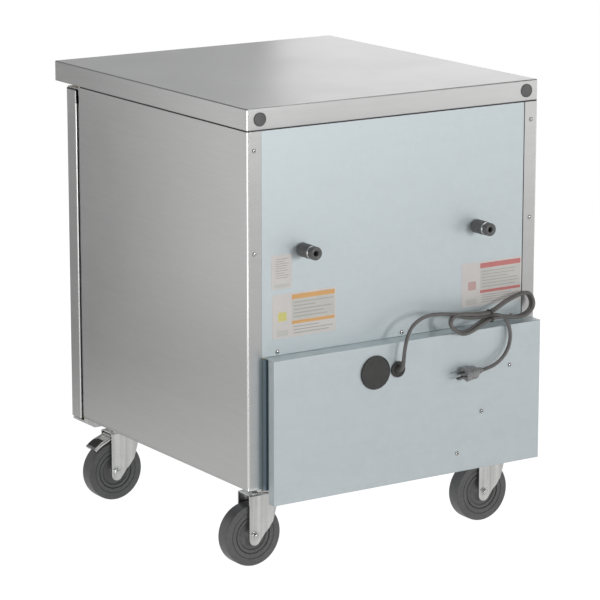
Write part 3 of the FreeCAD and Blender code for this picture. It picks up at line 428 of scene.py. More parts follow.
class Build:
    """Collects shapes in cabinet millimetres and finishes them as one piece."""

    def __init__(self, *finishes):
        self.mesh = bmesh.new()
        self.finishes = finishes
        self.current = 0
        self.frame = Matrix.Identity(4)

    def use(self, finish):
        self.current = self.finishes.index(finish)
        return self

    def face(self, corners):
        """A face, unless these corners already have one."""
        try:
            self.mesh.faces.new(corners).material_index = self.current
        except ValueError:
            pass

    def points(self, places):
        """Corners at these places, in the frame that is being built in."""
        return [self.mesh.verts.new(self.frame @ Vector(place)) for place in places]

    def prism(self, outline, offset):
        """A closed outline of points swept by an offset."""
        offset = Vector(offset)
        low = self.points(outline)
        high = self.points([Vector(point) + offset for point in outline])
        self.face(low)
        self.face(high[::-1])
        for i, corner in enumerate(low):
            after = (i + 1) % len(low)
            self.face([corner, high[i], high[after], low[after]])

    def box(self, x, y, z):
        self.prism(level(rectangle(x, y), z[0]), (0, 0, z[1] - z[0]))

    def rings(self, rows, closed=False):
        """Join rows of points, each a ring, into a skin; the ends are capped unless it closes on itself."""
        made = [self.points(row) for row in rows]
        pairs = list(zip(made, made[1:])) + ([(made[-1], made[0])] if closed else [])
        for row, after in pairs:
            for i, corner in enumerate(row):
                follow = (i + 1) % len(row)
                self.face([corner, row[follow], after[follow], after[i]])
        if not closed:
            self.face(made[0][::-1])
            self.face(made[-1])

    def lathe(self, profile, centre, axis, segments=48, closed=False):
        """Turn (distance along, radius) points about a line; radius 0 is kept as a tiny hub."""
        axis = Vector(axis).normalized()
        side = axis.orthogonal().normalized()
        other = axis.cross(side)
        rows = []
        for along, radius in profile:
            middle = Vector(centre) + axis * along
            spread = max(radius, 0.02)
            rows.append([middle + (side * cos(turn) + other * sin(turn)) * spread for turn in circle(segments)])
        self.rings(rows, closed)

    def fluted(self, profile, centre, flutes, segments):
        """Turn (distance along Y, radius, depth of the flutes) points about a line."""
        rows = []
        for along, radius, depth in profile:
            ring = []
            for turn in circle(segments):
                reach = radius - depth * (0.5 + 0.5 * cos(flutes * turn))
                ring.append(Vector(centre) + Vector((reach * cos(turn), along, reach * sin(turn))))
            rows.append(ring)
        self.rings(rows)

    def tube(self, line, radius, sides, flat=1.0):
        """A round or flattened wire along a line of points; radius may be one for each point."""
        line = [Vector(point) for point in line]
        radii = radius if hasattr(radius, "__len__") else [radius] * len(line)
        along = (line[1] - line[0]).normalized()
        side = along.orthogonal().normalized()
        rows = []
        for i, point in enumerate(line):
            before, after = line[max(i - 1, 0)], line[min(i + 1, len(line) - 1)]
            along = (after - before).normalized()
            side = (side - along * side.dot(along)).normalized()
            other = along.cross(side)
            rows.append([point + (side * cos(turn) + other * sin(turn) * flat) * radii[i] for turn in circle(sides)])
        self.rings(rows)

    def hexagon(self, centre, axis, flats, height):
        """A bolt head or nut, its outer rim drawn in a little."""
        radius = flats / sqrt(3)
        self.lathe([(0, radius), (height - 0.6, radius), (height, radius * 0.86)], centre, axis, 6)

    def made(self, name):
        """The shape as a mesh with its normals outwards."""
        bmesh.ops.recalc_face_normals(self.mesh, faces=self.mesh.faces)
        data = bpy.data.meshes.new(name)
        self.mesh.to_mesh(data)
        self.mesh.free()
        return data

    def finish(self, name, node=None, body="cabinet", slot=None, bevel=0.0, angle=35.0, flats=False):
        """Clean the normals, turn the shape into metres in the row frame and hand it to its body.

        The piece takes the place of the CAD node; slot is not used. Faces meet sharply past the angle, in degrees;
        flats keeps large faces even where they run into bends.
        """
        bmesh.ops.remove_doubles(self.mesh, verts=self.mesh.verts, dist=0.0005)
        data = self.made(name)
        data.transform(Matrix.Scale(MM, 4) @ Matrix.Translation(-ORIGIN))
        for finish in self.finishes:
            data.materials.append(FINISH[finish])
        data.shade_smooth()
        data.set_sharp_from_angle(angle=radians(angle))
        piece = add(name, data)
        if bevel:
            edge = piece.modifiers.new("edges", "BEVEL")
            edge.width = bevel * MM
            edge.segments = 2
            edge.limit_method = "ANGLE"
            edge.angle_limit = radians(40)
            edge.harden_normals = True
        if flats:
            piece.modifiers.new("flats", "WEIGHTED_NORMAL").keep_sharp = True
        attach(piece, body)
        if node:
            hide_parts(node)
        return piece


def arc(centre, radius, start, end, steps):
    """Points (a, b) along an arc in its own plane, angles in degrees."""
    turns = [radians(start + (end - start) * i / steps) for i in range(steps + 1)]
    return [(centre[0] + radius * cos(turn), centre[1] + radius * sin(turn)) for turn in turns]


def rounded_rectangle(a, b, radius, steps=5):
    """Corners (a, b) of a rectangle with rounded corners, counter-clockwise."""
    left, right, low, high = a[0] + radius, a[1] - radius, b[0] + radius, b[1] - radius
    centres = ((right, low), (right, high), (left, high), (left, low))
    return sum((arc(centre, radius, 90 * i - 90, 90 * i, steps) for i, centre in enumerate(centres)), [])


# ---- mains lead

CORD_R = 3.8
BUSH = (20.1, COVER_Y, 378.3)
LEAD = [(20.1, 38, 378.3), (20.1, 46, 378.3), (20.3, 54.5, 384.5), (20.3, 58.5, 398.5), (18.6, 58.8, 418.5),
        (13.2, 57.5, 440), (3, 55, 460), (-14.5, 52.3, 473.8), (-38, 50.3, 481.3), (-64, 49.4, 482.4),
        (-90, 48.8, 478.8), (-114, 47.4, 474.6)]
TOP_RUN = [(-137.4, 471.3), (-165.5, 466.1), (-194.5, 464.2), (-209.1, 463.8)]
RIGHT_LOBE = [(-222, 467.5), (-239.9, 474), (-255, 479.5), (-271, 483.6), (-285, 486.8), (-298.3, 488.7),
              (-309, 489.6), (-318.5, 488.2), (-326.2, 482.6), (-330.5, 473), (-331.5, 463), (-326.5, 454.8),
              (-318, 449), (-307.4, 445.6), (-294, 444), (-280.6, 444.2), (-266, 446.6), (-251.4, 449.7),
              (-231.3, 452.2)]
LEFT_LOBE = [(-207.7, 452), (-197, 450.3), (-186.7, 447.3), (-174, 442.8), (-162.1, 438.6), (-150, 435.4),
             (-138, 433.9), (-127.1, 434.8), (-117, 438.6), (-108.1, 444.7), (-101, 451), (-98, 458), (-100.5, 465.5),
             (-106, 470.5), (-114.6, 472.8)]
TAIL = [(-232.1, 33.5, 456.8), (-243.5, 38.5, 450.8), (-250, 45, 437), (-252.5, 49, 414), (-247, 51, 391.5),
        (-233, 52.5, 373), (-213, 54, 360.5), (-190, 55.5, 354.5), (-172, 56.5, 353)]


HANK_LEAN = 0.1557  # how far the hank's plane comes in towards the cabinet for its rise
LAYER = 3.9  # distance of each layer of turns from that plane


def hank_plane(x, z):
    """Y of the leaning plane that the tied turns lie in."""
    return 69.5 + 0.1438 * x - HANK_LEAN * (z - 433)


def strand(path, out, lift, spread):
    """Points of a turn, set out from the hank's plane, lifted, and spread from the middle of its lobe."""
    centre_x, centre_z = (sum(values) / len(path) for values in zip(*path))
    return [(x + spread * (x - centre_x), hank_plane(x, z) + out, z + lift + spread * (z - centre_z))
            for x, z in path]


def cord_route():
    """Lead, two turns of the figure-of-eight hank and the tail, in cabinet millimetres."""
    route = list(LEAD)
    for path, out, lift, spread in ((TOP_RUN, LAYER, 0.8, 0), (RIGHT_LOBE, LAYER, 0.6, 0.012),
                                    (LEFT_LOBE, LAYER, -0.6, 0.015), (TOP_RUN, -LAYER, 0.6, 0),
                                    (RIGHT_LOBE, -LAYER, -0.4, -0.02), (LEFT_LOBE, -LAYER, 0.8, -0.06),
                                    (TOP_RUN, -1.5, -6.6, 0)):
        route += strand(path, out, lift, spread)
    return route + TAIL


def cord_curve(name, points):
    """A round cord along points in cabinet millimetres."""
    curve = bpy.data.curves.new(name, "CURVE")
    curve.dimensions = "3D"
    spline = curve.splines.new("NURBS")
    spline.points.add(len(points) - 1)
    for place, point in zip(spline.points, points):
        place.co = (*at(*point), 1)
    spline.order_u = 3
    spline.use_endpoint_u = True
    curve.resolution_u = 10
    curve.bevel_depth = CORD_R * MM
    curve.bevel_resolution = 6
    curve.use_fill_caps = True
    curve.materials.append(FINISH["cord_jacket"])
    return add(name, curve)


def cord_tie():
    """Wire twist tie: two wraps round the waist of the hank and a twisted pair of ends."""
    tie = Build("black_plastic")
    x = -209
    middle_z = 457.6
    middle_y = hank_plane(x, middle_z)
    for shift in (-1.3, 1.3):
        loop = []
        for turn in circle(40) + [2 * pi]:
            wide = 9.4 * copysign(abs(cos(turn)) ** 0.75, cos(turn))
            tall = 12.2 * copysign(abs(sin(turn)) ** 0.75, sin(turn))
            loop.append((x + shift + 1.2 * sin(turn), middle_y + wide - HANK_LEAN * tall, middle_z + tall))
        tie.tube(loop, 1, 8, 0.7)
    for lean in (-1, 1):
        ends = [(x + lean * (1 + 0.7 * i), middle_y + 9.6 + 0.5 * i, middle_z + 8.5 + 1.7 * i) for i in range(7)]
        tie.tube(ends, 0.9, 8, 0.7)
    return tie.finish("twist_tie", "cord_tie")


def power_plug():
    """Moulded right-hand plug: waisted body with finger grooves, ribbed nose, two blades and an earth pin."""
    plug = Build("plug_face", "black_plastic", "dark_plate_and_painted_shade")
    end = Vector(TAIL[-1]) + Vector((11, 0, -0.8))
    plug.frame = (Matrix.Translation(end) @ Matrix.Rotation(radians(6), 4, "Y")
                  @ Matrix.Rotation(radians(70), 4, "X"))
    stations = [(-2, 8.2, 8.8), (0, 9.6, 10.6), (4, 10.6, 12.2), (9, 10.8, 12.7), (11, 9.6, 11.8), (13, 9.6, 11.8),
                (15, 10.8, 12.7), (17, 9.6, 11.8), (19, 9.6, 11.8), (21, 10.9, 12.8), (26, 11, 13), (29, 11, 13),
                (30, 10.4, 12.4)]
    plug.rings([[(along, a, b) for a, b in rounded_rectangle((-half_y, half_y), (-half_z, half_z), 5)]
                for along, half_y, half_z in stations])
    nose = [(-14 + 12.4 * i / 14, 5.2 + 3.1 * i / 14 - (0.9 if i % 3 == 1 else 0)) for i in range(15)]
    plug.lathe([(-14, CORD_R)] + nose + [(0, 8.3)], (0, 0, 0), X_AXIS, 28)
    plug.use("black_plastic")
    plug.box((4, 24), (-10.9, -10), (-3.5, 3.5))
    plug.use("dark_plate_and_painted_shade")
    for y in (-6.35, 6.35):
        plug.box((29.6, 46.4), (y - 0.75, y + 0.75), (-1, 5.3))
    plug.lathe([(29.6, 2.4), (47, 2.4), (48.6, 1.7), (49, 0.6)], (0, 0, -7.5), X_AXIS, 20)
    return plug.finish("mains_plug_piece", "power_plug", slot="grey_plastic", bevel=0.25)


def grommet():
    """Round bush in the cover that the lead comes out of."""
    bush = Build("black_plastic")
    bush.lathe([(-7, CORD_R), (-7, 12), (-5.5, 13), (0, 13), (0, 16.3), (0.6, 16.5), (2.6, 16.5), (3.6, 15.9),
                (3.8, 12.2), (3, 11.6), (3, 9.6), (5.6, 8.6), (6, 7.6), (6, CORD_R)], BUSH, Y_AXIS, 56, True)
    bush.finish("cable_bush", "cable_grommet", angle=28)


def strain_relief(points):
    """Tapered sleeve along the lead's own line, with grooves that let it bend."""
    sleeve = Build("cord_jacket")
    line = points[:26]
    last = len(line) - 1
    radii = [5.4 - 1.35 * i / last - (0.45 if i % 4 == 2 and i < last - 2 else 0) for i in range(last + 1)]
    sleeve.tube(line, radii, 24)
    return sleeve.finish("strain_relief", angle=50)


def spline_line(piece):
    """Points, in cabinet millimetres, along a curve's own line."""
    bare = piece.data.copy()
    bare.bevel_depth = 0
    holder = add("line", bare)
    mesh = evaluated(holder)
    line = [vertex.co / MM + ORIGIN for vertex in mesh.vertices]
    bpy.data.objects.remove(holder)
    bpy.data.curves.remove(bare)
    bpy.data.meshes.remove(mesh)
    return line


def mains_lead():
    """The lead from the bush to the plug, with the pieces it carries."""
    lead = cord_curve("mains_lead", cord_route())
    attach(lead, "cabinet")
    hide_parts("cord_lead", "cord_hank", "cord_tail")
    grommet()
    sleeve = strain_relief(spline_line(lead))
    power_plug()
    cord_tie()


# ---- fixings and small rear pieces

# Where each screw's head sits, and the way it faces.
SCREWS = [((x, 0, z), Y_AXIS) for x, z in ((333, 844.5), (333, 642), (-333, 844.5), (-333, 642))]
SCREWS += [((x, BACK_Y, z), Y_AXIS) for x, z in ((280.4, 441), (-16.3, 441), (-290.2, 441))]
SCREWS += [((x, COVER_Y, z), Y_AXIS) for x, z in ((-259.4, 348.5), (-189.1, 261.2), (-129.1, 180.8))]
SCREWS += [((x, -659, 870.2), -Y_AXIS) for x in (328.5, 342.5)]
SCREWS += [((335.5, y, 158), -Z_AXIS) for y in (-645, -622)]


def cross_head():
    """A pan head along +Z with a cross recess, as a mesh in millimetres."""
    head = Build("zinc_plate")
    head.lathe([(-1, 2), (0, 2), (0, 4.4), (0.4, 4.5), (0.6, 4.1), (1.2, 3.9), (1.7, 3.3), (2, 2.6),
                (2.2, 1.3), (2.2, 0)], (0, 0, 0), Z_AXIS, 32)
    cutter = Build("zinc_plate")
    for angle in (35, 125):
        cutter.frame = Matrix.Rotation(radians(angle), 4, "Z")
        cutter.rings([level(rectangle((-long, long), (-wide, wide)), z)
                      for z, long, wide in ((0.6, 1.2, 0.45), (3, 2.9, 0.72))])
    solids = [add("screw_stock", built.made("screw_stock")) for built in (head, cutter)]
    cut = solids[0].modifiers.new("cut", "BOOLEAN")
    cut.operation, cut.solver = "DIFFERENCE", "EXACT"
    cut.object = solids[1]
    cut.use_self = True
    result = evaluated(solids[0])
    for solid in solids:
        bpy.data.objects.remove(solid)
    # Painted shade: the recess, the rim and the underside take the second, darker finish, for the shade in the recess
    # and round the head.
    for face in result.polygons:
        sunk = abs(face.normal.z) < 0.6 and face.center.xy.length < 2.9
        rim = face.center.xy.length > 3.7
        face.material_index = 1 if sunk or rim or face.center.z < 1 else 0
    return result


def screws():
    """Every screw head, each turned a little further than the last."""
    template = cross_head()
    heads = Build("zinc_plate", "dark_plate_and_painted_shade")
    for i, (place, out) in enumerate(SCREWS):
        spin = Matrix.Rotation(radians(47 * i), 4, "Z")
        turn = out.to_track_quat("Z", "Y").to_matrix().to_4x4()
        copy = template.copy()
        copy.transform(Matrix.Translation(place) @ turn @ spin)
        heads.mesh.from_mesh(copy)
        bpy.data.meshes.remove(copy)
    heads.finish("cross_head_screws", "pan_head_screws", angle=30)


def round_plugs():
    """Hole plugs in the worktop's rear edge, and the large blanking plug in the cover."""
    plugs = Build("black_plastic", "grey_plastic")
    for x in (-320, 320):
        plugs.use("grey_plastic").lathe([(-12, 11), (-1, 12), (0, 12), (0, 13.5), (0.4, 13.75), (1.3, 13.75),
                                         (2, 13.1), (2.2, 12.3), (1.75, 11.6), (1.7, 6), (1.8, 0)],
                                        (x, 0, 904.6), Y_AXIS, 56)
    plugs.use("black_plastic").lathe([(-8, 28), (-6, 29), (0, 29), (0, 34.2), (0.4, 34.5), (2.4, 34.5), (3.6, 34),
                                      (4.4, 32.9), (4.75, 31.6), (4.6, 30.6), (4.2, 30), (4.15, 12), (4.3, 0)],
                                     (74.6, COVER_Y, 379), Y_AXIS, 80)
    plugs.finish("round_plugs", "hole_plugs", angle=30)


def wall_spacers():
    """Two-step bumpers with fine flutes on the foot, a groove, a soft nose and a socket-head bolt in the bore."""
    spacers = Build("grey_plastic", "black_enamel", "zinc_plate")
    for x, z in ((222, 639), (-198, 639)):
        centre = (x, BACK_Y, z)
        profile = [(0, 13.6, 0), (0.6, 14, 0.6), (31.2, 14, 0.6), (32.2, 13.4, 0), (33.2, 12.7, 0), (38.2, 12.4, 0),
                   (39, 13.1, 0), (47.6, 13.4, 0), (49.6, 12.9, 0), (50.6, 11.6, 0), (50.8, 10.2, 0),
                   (50, 8.4, 0), (49.6, 6.4, 0), (48.6, 5.5, 0), (16, 5.5, 0)]
        spacers.use("grey_plastic").fluted(profile, centre, 30, 120)
        collar = [(33.6, 12.5), (33.6, 13), (34.2, 13.5), (37.4, 13.5), (38, 13), (38, 12.3)]
        spacers.use("zinc_plate").lathe(collar, centre, Y_AXIS, 64, True)
        bolt = [(16.2, 5.2), (19.8, 5.2), (20.5, 4.6), (20.5, 3), (17.5, 2.9), (17.4, 0)]
        spacers.use("black_enamel").lathe(bolt, centre, Y_AXIS, 6)
    spacers.finish("wall_bumpers", "wall_spacers", slot="black_plastic", angle=32)


# ---- stickers

def patch(label, finish, x, z, layer=1, radius=0):
    """A thin printed patch on the back panel: layer 0 is the film and the others are ink."""
    low = BACK_Y + (0 if layer == 0 else 0.26 + 0.02 * layer)
    high = BACK_Y + 0.3 + 0.04 * layer
    corners = rounded_rectangle(x, z, radius) if radius else rectangle(x, z)
    label.use(finish).prism([(a, low, b) for a, b in corners], (0, high - low, 0))


def rules(label, x, z, count, ragged):
    """Plain ruled lines, uneven in length, that stand for small print."""
    pitch = (z[1] - z[0]) / count
    for i in range(count):
        low = z[0] + (i + 0.35) * pitch
        right = x[0] + ragged[i % len(ragged)] * (x[1] - x[0])
        patch(label, "print_rule", (right, x[1]), (low, low + 0.3 * pitch), 2)


def stickers():
    """Three blank stickers with plain bands and rules and no lettering or signs."""
    label = Build(*FILM_TONES)
    for finish, x, z, *rest in (
            ("label_film", (247, 294), (565.5, 634), 0, 4), ("print_tint", (252, 289), (569, 576)),
            ("label_film", (143, 292), (466.6, 555.5), 0, 4), ("print_orange", (146, 247), (542, 551.5)),
            ("print_orange", (146, 247), (492.5, 499)), ("print_tint", (146, 247), (500, 541)),
            ("print_yellow", (259, 279), (501, 519), 1, 3), ("print_tint", (255, 282), (471, 483)),
            ("label_film", (-315, -164), (472, 563), 0, 4), ("print_red", (-312, -210), (549, 559.5)),
            ("print_red", (-312, -210), (497.5, 503.5)), ("print_tint", (-312, -210), (505, 547.5)),
            ("print_blush", (-200, -180), (506, 524), 1, 3), ("print_tint", (-202, -176), (476, 488))):
        patch(label, finish, x, z, *rest)
    rules(label, (254, 284), (586, 628), 9, (0.1, 0, 0.3, 0.05, 0.2))
    rules(label, (150, 243), (503, 539), 5, (0.15, 0.22, 0.02, 0.45, 0))
    rules(label, (150, 243), (471, 490), 3, (0.1, 0, 0.35))
    rules(label, (-308, -214), (507, 545), 6, (0.1, 0, 0.04, 0.3, 0.12))
    rules(label, (-308, -214), (476, 495), 4, (0.2, 0, 0.1))
    label.finish("blank_stickers", "rear_labels")


# ---- casters

CASTERS = {"rear_left": (282, -52), "rear_right": (-282, -52), "front_left": (282, -600), "front_right": (-282, -600)}
WHEEL_R = 63.5
TRAIL = 33  # from the kingpin to the axle
CROWN_TOP = 150 - WHEEL_R  # above the axle
LEG_SHEET = 2.6


def caster_part(corner, *finishes):
    """A piece of one caster, built about the middle of its axle."""
    x, y = CASTERS[corner]
    part = Build(*finishes)
    part.frame = Matrix.Translation((x + TRAIL, y, WHEEL_R))
    return part


def leg_columns():
    """X of each column of a fork leg and the Z of its foot there, about the axle."""
    columns = [(-58, 81), (-56, 64), (-53, 53), (-50, 42), (-47, 32.5), (-44, 23), (-38, 16.4), (-33, 10.9),
               (-29, 6.4), (-25, 2), (-17, -6.9)]
    for degrees in range(222, 361, 10):
        columns.append((12.5 * cos(radians(degrees)), 12.5 * sin(radians(degrees)) - 7))
    return columns + [(12.5, -7)]


def leg_face(x):
    """How far out the leg's outer face stands at X: a flat strip by the axle, then two shallow pressed folds."""
    folds = [(-58, 19.2), (-42, 19.8), (-33, 21.9), (-25, 20.3), (-9, 22.5), (12.5, 22.3)]
    for (x0, out0), (x1, out1) in zip(folds, folds[1:]):
        if x <= x1:
            return out0 + (out1 - out0) * (x - x0) / (x1 - x0)
    return folds[-1][1]


def caster_fork(corner):
    """Pressed fork: creased legs that bend into the crown, a pressed ring at the axle and the swivel dome."""
    fork = caster_part(corner, "zinc_plate")
    bend = 5
    for side in (-1, 1):
        rows = []
        for column, foot in leg_columns():
            out = leg_face(column)
            ring = [(out, foot)] + arc((out - bend, CROWN_TOP - bend), bend, 0, 90, 5)
            ring += arc((out - bend, CROWN_TOP - bend), bend - LEG_SHEET, 90, 0, 5) + [(out - LEG_SHEET, foot)]
            rows.append([(column, side * across, up) for across, up in ring])
        fork.rings(rows)
        ring = [(0, 11.2), (0.5, 11.2), (1, 10.4), (1, 8.9), (0.4, 8.2), (0.4, 5.4), (-1, 5.4), (-1, 11.2)]
        fork.lathe(ring, (0, side * 21.9, 0), (0, side, 0), 40, True)
    crown = rounded_rectangle((-58, 12.5), (-17.6, 17.6), 1, 2)
    fork.prism(level(crown, CROWN_TOP - LEG_SHEET), (0, 0, LEG_SHEET))
    dome = [(0, 29.5), (0.5, 29), (1, 27.2), (2.2, 25.2), (3.8, 24.2), (4.6, 23.6), (5, 22.4), (5, 7), (0, 7)]
    fork.lathe(dome, (-TRAIL, 0, CROWN_TOP), Z_AXIS, 56, True)
    fork.finish("pressed_fork_" + corner, "fork_" + corner, "swivel_" + corner, bevel=0.35, angle=28, flats=True)


def caster_axle(corner):
    """Axle bolt: hex head and washer at one end, nut, washer and thread at the other."""
    axle = caster_part(corner, "zinc_plate")
    for side, height in ((-1, 4.4), (1, 3.8)):
        out = (0, side, 0)
        axle.lathe([(0, 8.8), (0.9, 8.8), (1.2, 8.4), (1.2, 5)], (0, side * 22.6, 0), out, 36, True)
        axle.hexagon((0, side * 23.8, 0), out, 12.8, height - 1)
    thread = [(0, 4.9)]
    for i in range(5):
        thread += [(0.35 + 0.6 * i, 4.4), (0.65 + 0.6 * i, 4.9)]
    axle.lathe(thread + [(3.3, 4.2), (3.4, 0)], (0, 26, 0), Y_AXIS, 24)
    axle.lathe([(-23, 4.9), (26, 4.9)], (0, 0, 0), Y_AXIS, 24)
    axle.finish("axle_bolt_" + corner, "axle_" + corner, "swivel_" + corner, angle=25)


def caster_wheel(corner):
    """Moulded wheel: dished hub with a bearing collar, and a hard tyre with two turned rings in its side."""
    wheel = caster_part(corner, "caster_tread", "grey_plastic")
    hub = [(19.2, 5.1), (19.2, 9.8), (18.7, 10.6), (17.9, 10.9), (17.6, 12.4), (16.6, 13.8), (13.5, 15.6),
           (11.4, 17.6), (11, 19.5), (11, 27.2), (11.5, 28.6), (12.6, 30)]
    tyre = [(12.3, 29.8), (13.6, 30.4), (14.4, 31.2), (14.6, 32), (14.6, 36.4), (14.2, 36.9), (12.4, 37.3),
            (11.9, 37.9), (12.4, 38.6), (14.9, 39.1), (15.3, 39.7), (15.4, 41), (15.4, 46.7), (15.1, 47.2),
            (14.2, 47.6), (14.2, 48.2), (15.1, 48.6), (15.8, 49), (16, 49.8), (16, 60.9), (15.8, 61.8), (15.2, 62.6),
            (14.3, 63.1), (13, 63.35), (10, 63.45), (0, 63.5)]
    for finish, side in (("grey_plastic", hub), ("caster_tread", tyre)):
        other = [(-a, r) for a, r in reversed(side) if a]
        wheel.use(finish).lathe(side + other, (0, 0, 0), Y_AXIS, 96, True)
    wheel.finish("moulded_wheel_" + corner, "wheel_" + corner, "roller_" + corner, angle=32, flats=True)


def brake_pedal(corner):
    """Toe pedal: barrel on the fork's pin, two raised rails, a thin floor and a ribbed black pad."""
    pedal = caster_part(corner, "zinc_plate", "black_plastic")
    wide = 18.6

    def swept(inner, outer, start, end, y0, y1, lead=()):
        """A strip bent about the axle between two radii, from one angle to another, with points that lead into it."""
        low = arc((0, 0), inner, start, end, 10)
        high = arc((0, 0), outer, end, start, 10)
        pedal.prism([(a, y0, b) for a, b in list(lead) + low + high], (0, y1 - y0, 0))

    pedal.lathe([(-wide, 2.55), (-wide, 4.2), (-wide + 0.3, 4.5), (wide - 0.3, 4.5), (wide, 4.2), (wide, 2.55)],
                (7, 0, 75.5), Y_AXIS, 28, True)
    for y0 in (-wide, wide - 2.4):
        swept(68.5, 76, 70, 46, y0, y0 + 2.4, [(8, 78.4), (8, 73.6)])
    swept(72.6, 74.2, 70, 46, -wide, wide, [(9, 77.4), (9, 75.6)])
    swept(68.5, 76, 49, 46, -wide, wide)
    pedal.use("black_plastic")
    swept(74, 75.1, 66, 51, -15.2, 15.2)
    for start in range(52, 65, 3):
        swept(75, 75.8, start + 1.3, start, -14.2, 14.2)
    pedal.box((24, 30), (-12, 12), (61.2, 69.5))
    pedal.finish("toe_pedal_" + corner, "brake_" + corner, "pedal_" + corner, "black_plastic", 0.3, 30)


def caster_mounts():
    """Top plates with rounded corners, ball races with a dark gap, kingpin nuts and hex bolts with washers."""
    mounts = Build("zinc_plate")
    for x, y in CASTERS.values():
        plate = rounded_rectangle((x - 37.5, x + 37.5), (y - 47.5, y + 47.5), 6, 5)
        mounts.prism(level(plate, 165), (0, 0, 3))
        race = [(151.2, 24.6), (151, 25.6), (151.3, 28.4), (152.4, 29.3), (156.5, 29.4), (158, 30.4), (161.5, 31.2),
                (165, 33.5), (165, 24), (156, 23.4)]
        mounts.lathe(race, (x, y, 0), Z_AXIS, 64, True)
        mounts.lathe([(144, 5.6), (144.6, 5.95), (158, 5.95), (158, 0)], (x, y, 0), Z_AXIS, 28)
        mounts.hexagon((x, y, 146.4), -Z_AXIS, 17, 4.8)
        for dx in (-28, 28):
            for dy in (-38, 38):
                mounts.lathe([(0, 7.6), (1.1, 7.6), (1.1, 3)], (x + dx, y + dy, 163.9), Z_AXIS, 28, True)
                mounts.hexagon((x + dx, y + dy, 164), -Z_AXIS, 11.2, 3.8)
    mounts.finish("caster_plates", "caster_mounts", bevel=0.25, angle=28)


# ---- body skins

def skin_path(inset, side):
    """The side panel's outline in plan, a little inside its outer face: front edge, rear bend, flange edge."""
    radius = max(0.05, UPRIGHT_R - inset)
    points = [(HALF_WIDTH - inset, PANEL_FRONT), (HALF_WIDTH - inset, -330)]
    points += arc((HALF_WIDTH - inset - radius, -inset - radius), radius, 0, 90, 8) + [(317.1, -inset)]
    return [(side * x, y) for x, y in points]


def side_skins():
    """Side panels as bent sheet: a hem pressed in along the foot and a gap left under the worktop."""
    # Inset and height of the sheet's outer face, then the height of its inner face.
    levels = [(0.3, PANEL_FOOT, 168), (0, 168.3, 168.4), (0.7, 173, 173), (0.72, 174, 174),
              (0, 174.3, 174.3), (0, 420, 420), (0, 640, 640), (0, 881, 881), (0.2, 881.45, PANEL_HEAD),
              (0.55, PANEL_HEAD, 881.62)]
    for name, side in (("left", 1), ("right", -1)):
        skin = Build("stainless")
        skin.rings([level(skin_path(inset, side), z) + level(skin_path(SHEET, side)[::-1], inner_z)
                    for inset, z, inner_z in levels])
        skin.finish("side_skin_" + name, "side_panel_" + name, angle=50, flats=True)


def around(inset, depth, radius, steps):
    """The cabinet's outline in plan, drawn in by an inset, from the rear face to a depth."""
    return rounded_rectangle((-HALF_WIDTH + inset, HALF_WIDTH - inset), (-depth + inset, -inset), radius, steps)


def worktop_pan():
    """Folded worktop: a flat top, bends down to four rims and a lip turned in under them, as one closed sheet."""
    low, high, sheet, lip, bend = TOP_UNDER, TOP_FACE, 1.2, 18, 2.6
    profile = [(sheet + 1.5, high - sheet), (sheet, high - sheet - 1.5), (sheet, low + sheet), (lip, low + sheet),
               (lip, low), (1, low), (0.3, low + 0.3), (0, low + 1), (0, high - 24)]
    profile += [(bend - a, high - bend + b) for a, b in arc((0, 0), bend, 0, 90, 8)]
    pan = Build("stainless")
    pan.rings([level(around(inset, TOP_DEPTH, max(0.3, UPRIGHT_R - inset), 8), z) for inset, z in profile])
    pan.finish("worktop_slab", "worktop", angle=50, flats=True)


def flange_shadow_lines():
    """Painted shadow: a dark strip where each rear flange ends on the back panel, wider on the right."""
    shadow_lines = Build("gasket_rubber")
    for side, wide in ((-1, 1.3), (1, 0.5)):
        shadow_lines.box(sorted((side * 317.05, side * (317.05 - wide))), (-0.85, -0.35), (434, 881.2))
    shadow_lines.finish("flange_shadow_lines")


def worktop_gap_shadow():
    """Painted shadow: a dark bead that fills the gap between the worktop and the panels under it."""
    gap_shadow = Build("gasket_rubber")
    profile = [(0.85, 881.3), (0.5, 881.3), (0.3, 881.7), (0.3, 883.6), (0.5, TOP_UNDER), (0.85, TOP_UNDER)]
    gap_shadow.rings([level(around(inset, -PANEL_FRONT, UPRIGHT_R - inset, 6), z) for inset, z in profile], True)
    gap_shadow.finish("worktop_gap_shadow_strip", angle=30)


# ---- door and inside

DOOR_BEND = 2.5


def door_corners(bend):
    """Half of the door's outline in plan: round its rear corner, then round its front one."""
    side = HALF_WIDTH - DOOR_BEND
    return arc((side, DOOR_REAR - DOOR_BEND), bend, 90, 0, 6) + arc((side, DOOR_FRONT + DOOR_BEND), bend, 0, -90, 6)


def door_grip():
    """Black pull along the door's head, with the stainless sides of the door carried up over its ends."""
    low, high, front, rear, end = GRIP_FOOT, GRIP_HEAD, DOOR_FRONT, DOOR_REAR, HALF_WIDTH
    grip = Build("black_plastic", "stainless")
    block = [(front, low), (rear, low), (rear, high), (front, high)]
    pocket = block + [(front, 864), (front + 4, 864), (front + 4, 872), (-686, 872), (-686, 850), (front, 850)]
    for x0, x1, outline in ((-325, 300, pocket), (300, end - 0.9, block), (-end + 0.9, -325, block)):
        grip.prism([(x0, y, z) for y, z in outline], (x1 - x0, 0, 0))
    plan = [(343, rear)] + door_corners(DOOR_BEND)
    plan += [(end - 20, front), (end - 20, front + 0.05), (end - 2.5, front + 0.05), (end - 0.9, front + 1.6),
             (end - 0.9, rear - 2), (343, rear - 0.05)]
    for side in (-1, 1):
        grip.use("black_plastic").box(sorted((side * (end - 1), side * end)), (front + 2.5, rear), (high - 2.6, high))
        grip.use("stainless").prism([(side * x, y, low) for x, y in plan], (0, 0, high - 2.8 - low))
    grip.finish("door_pull", "door_handle", "door", angle=30, flats=True)


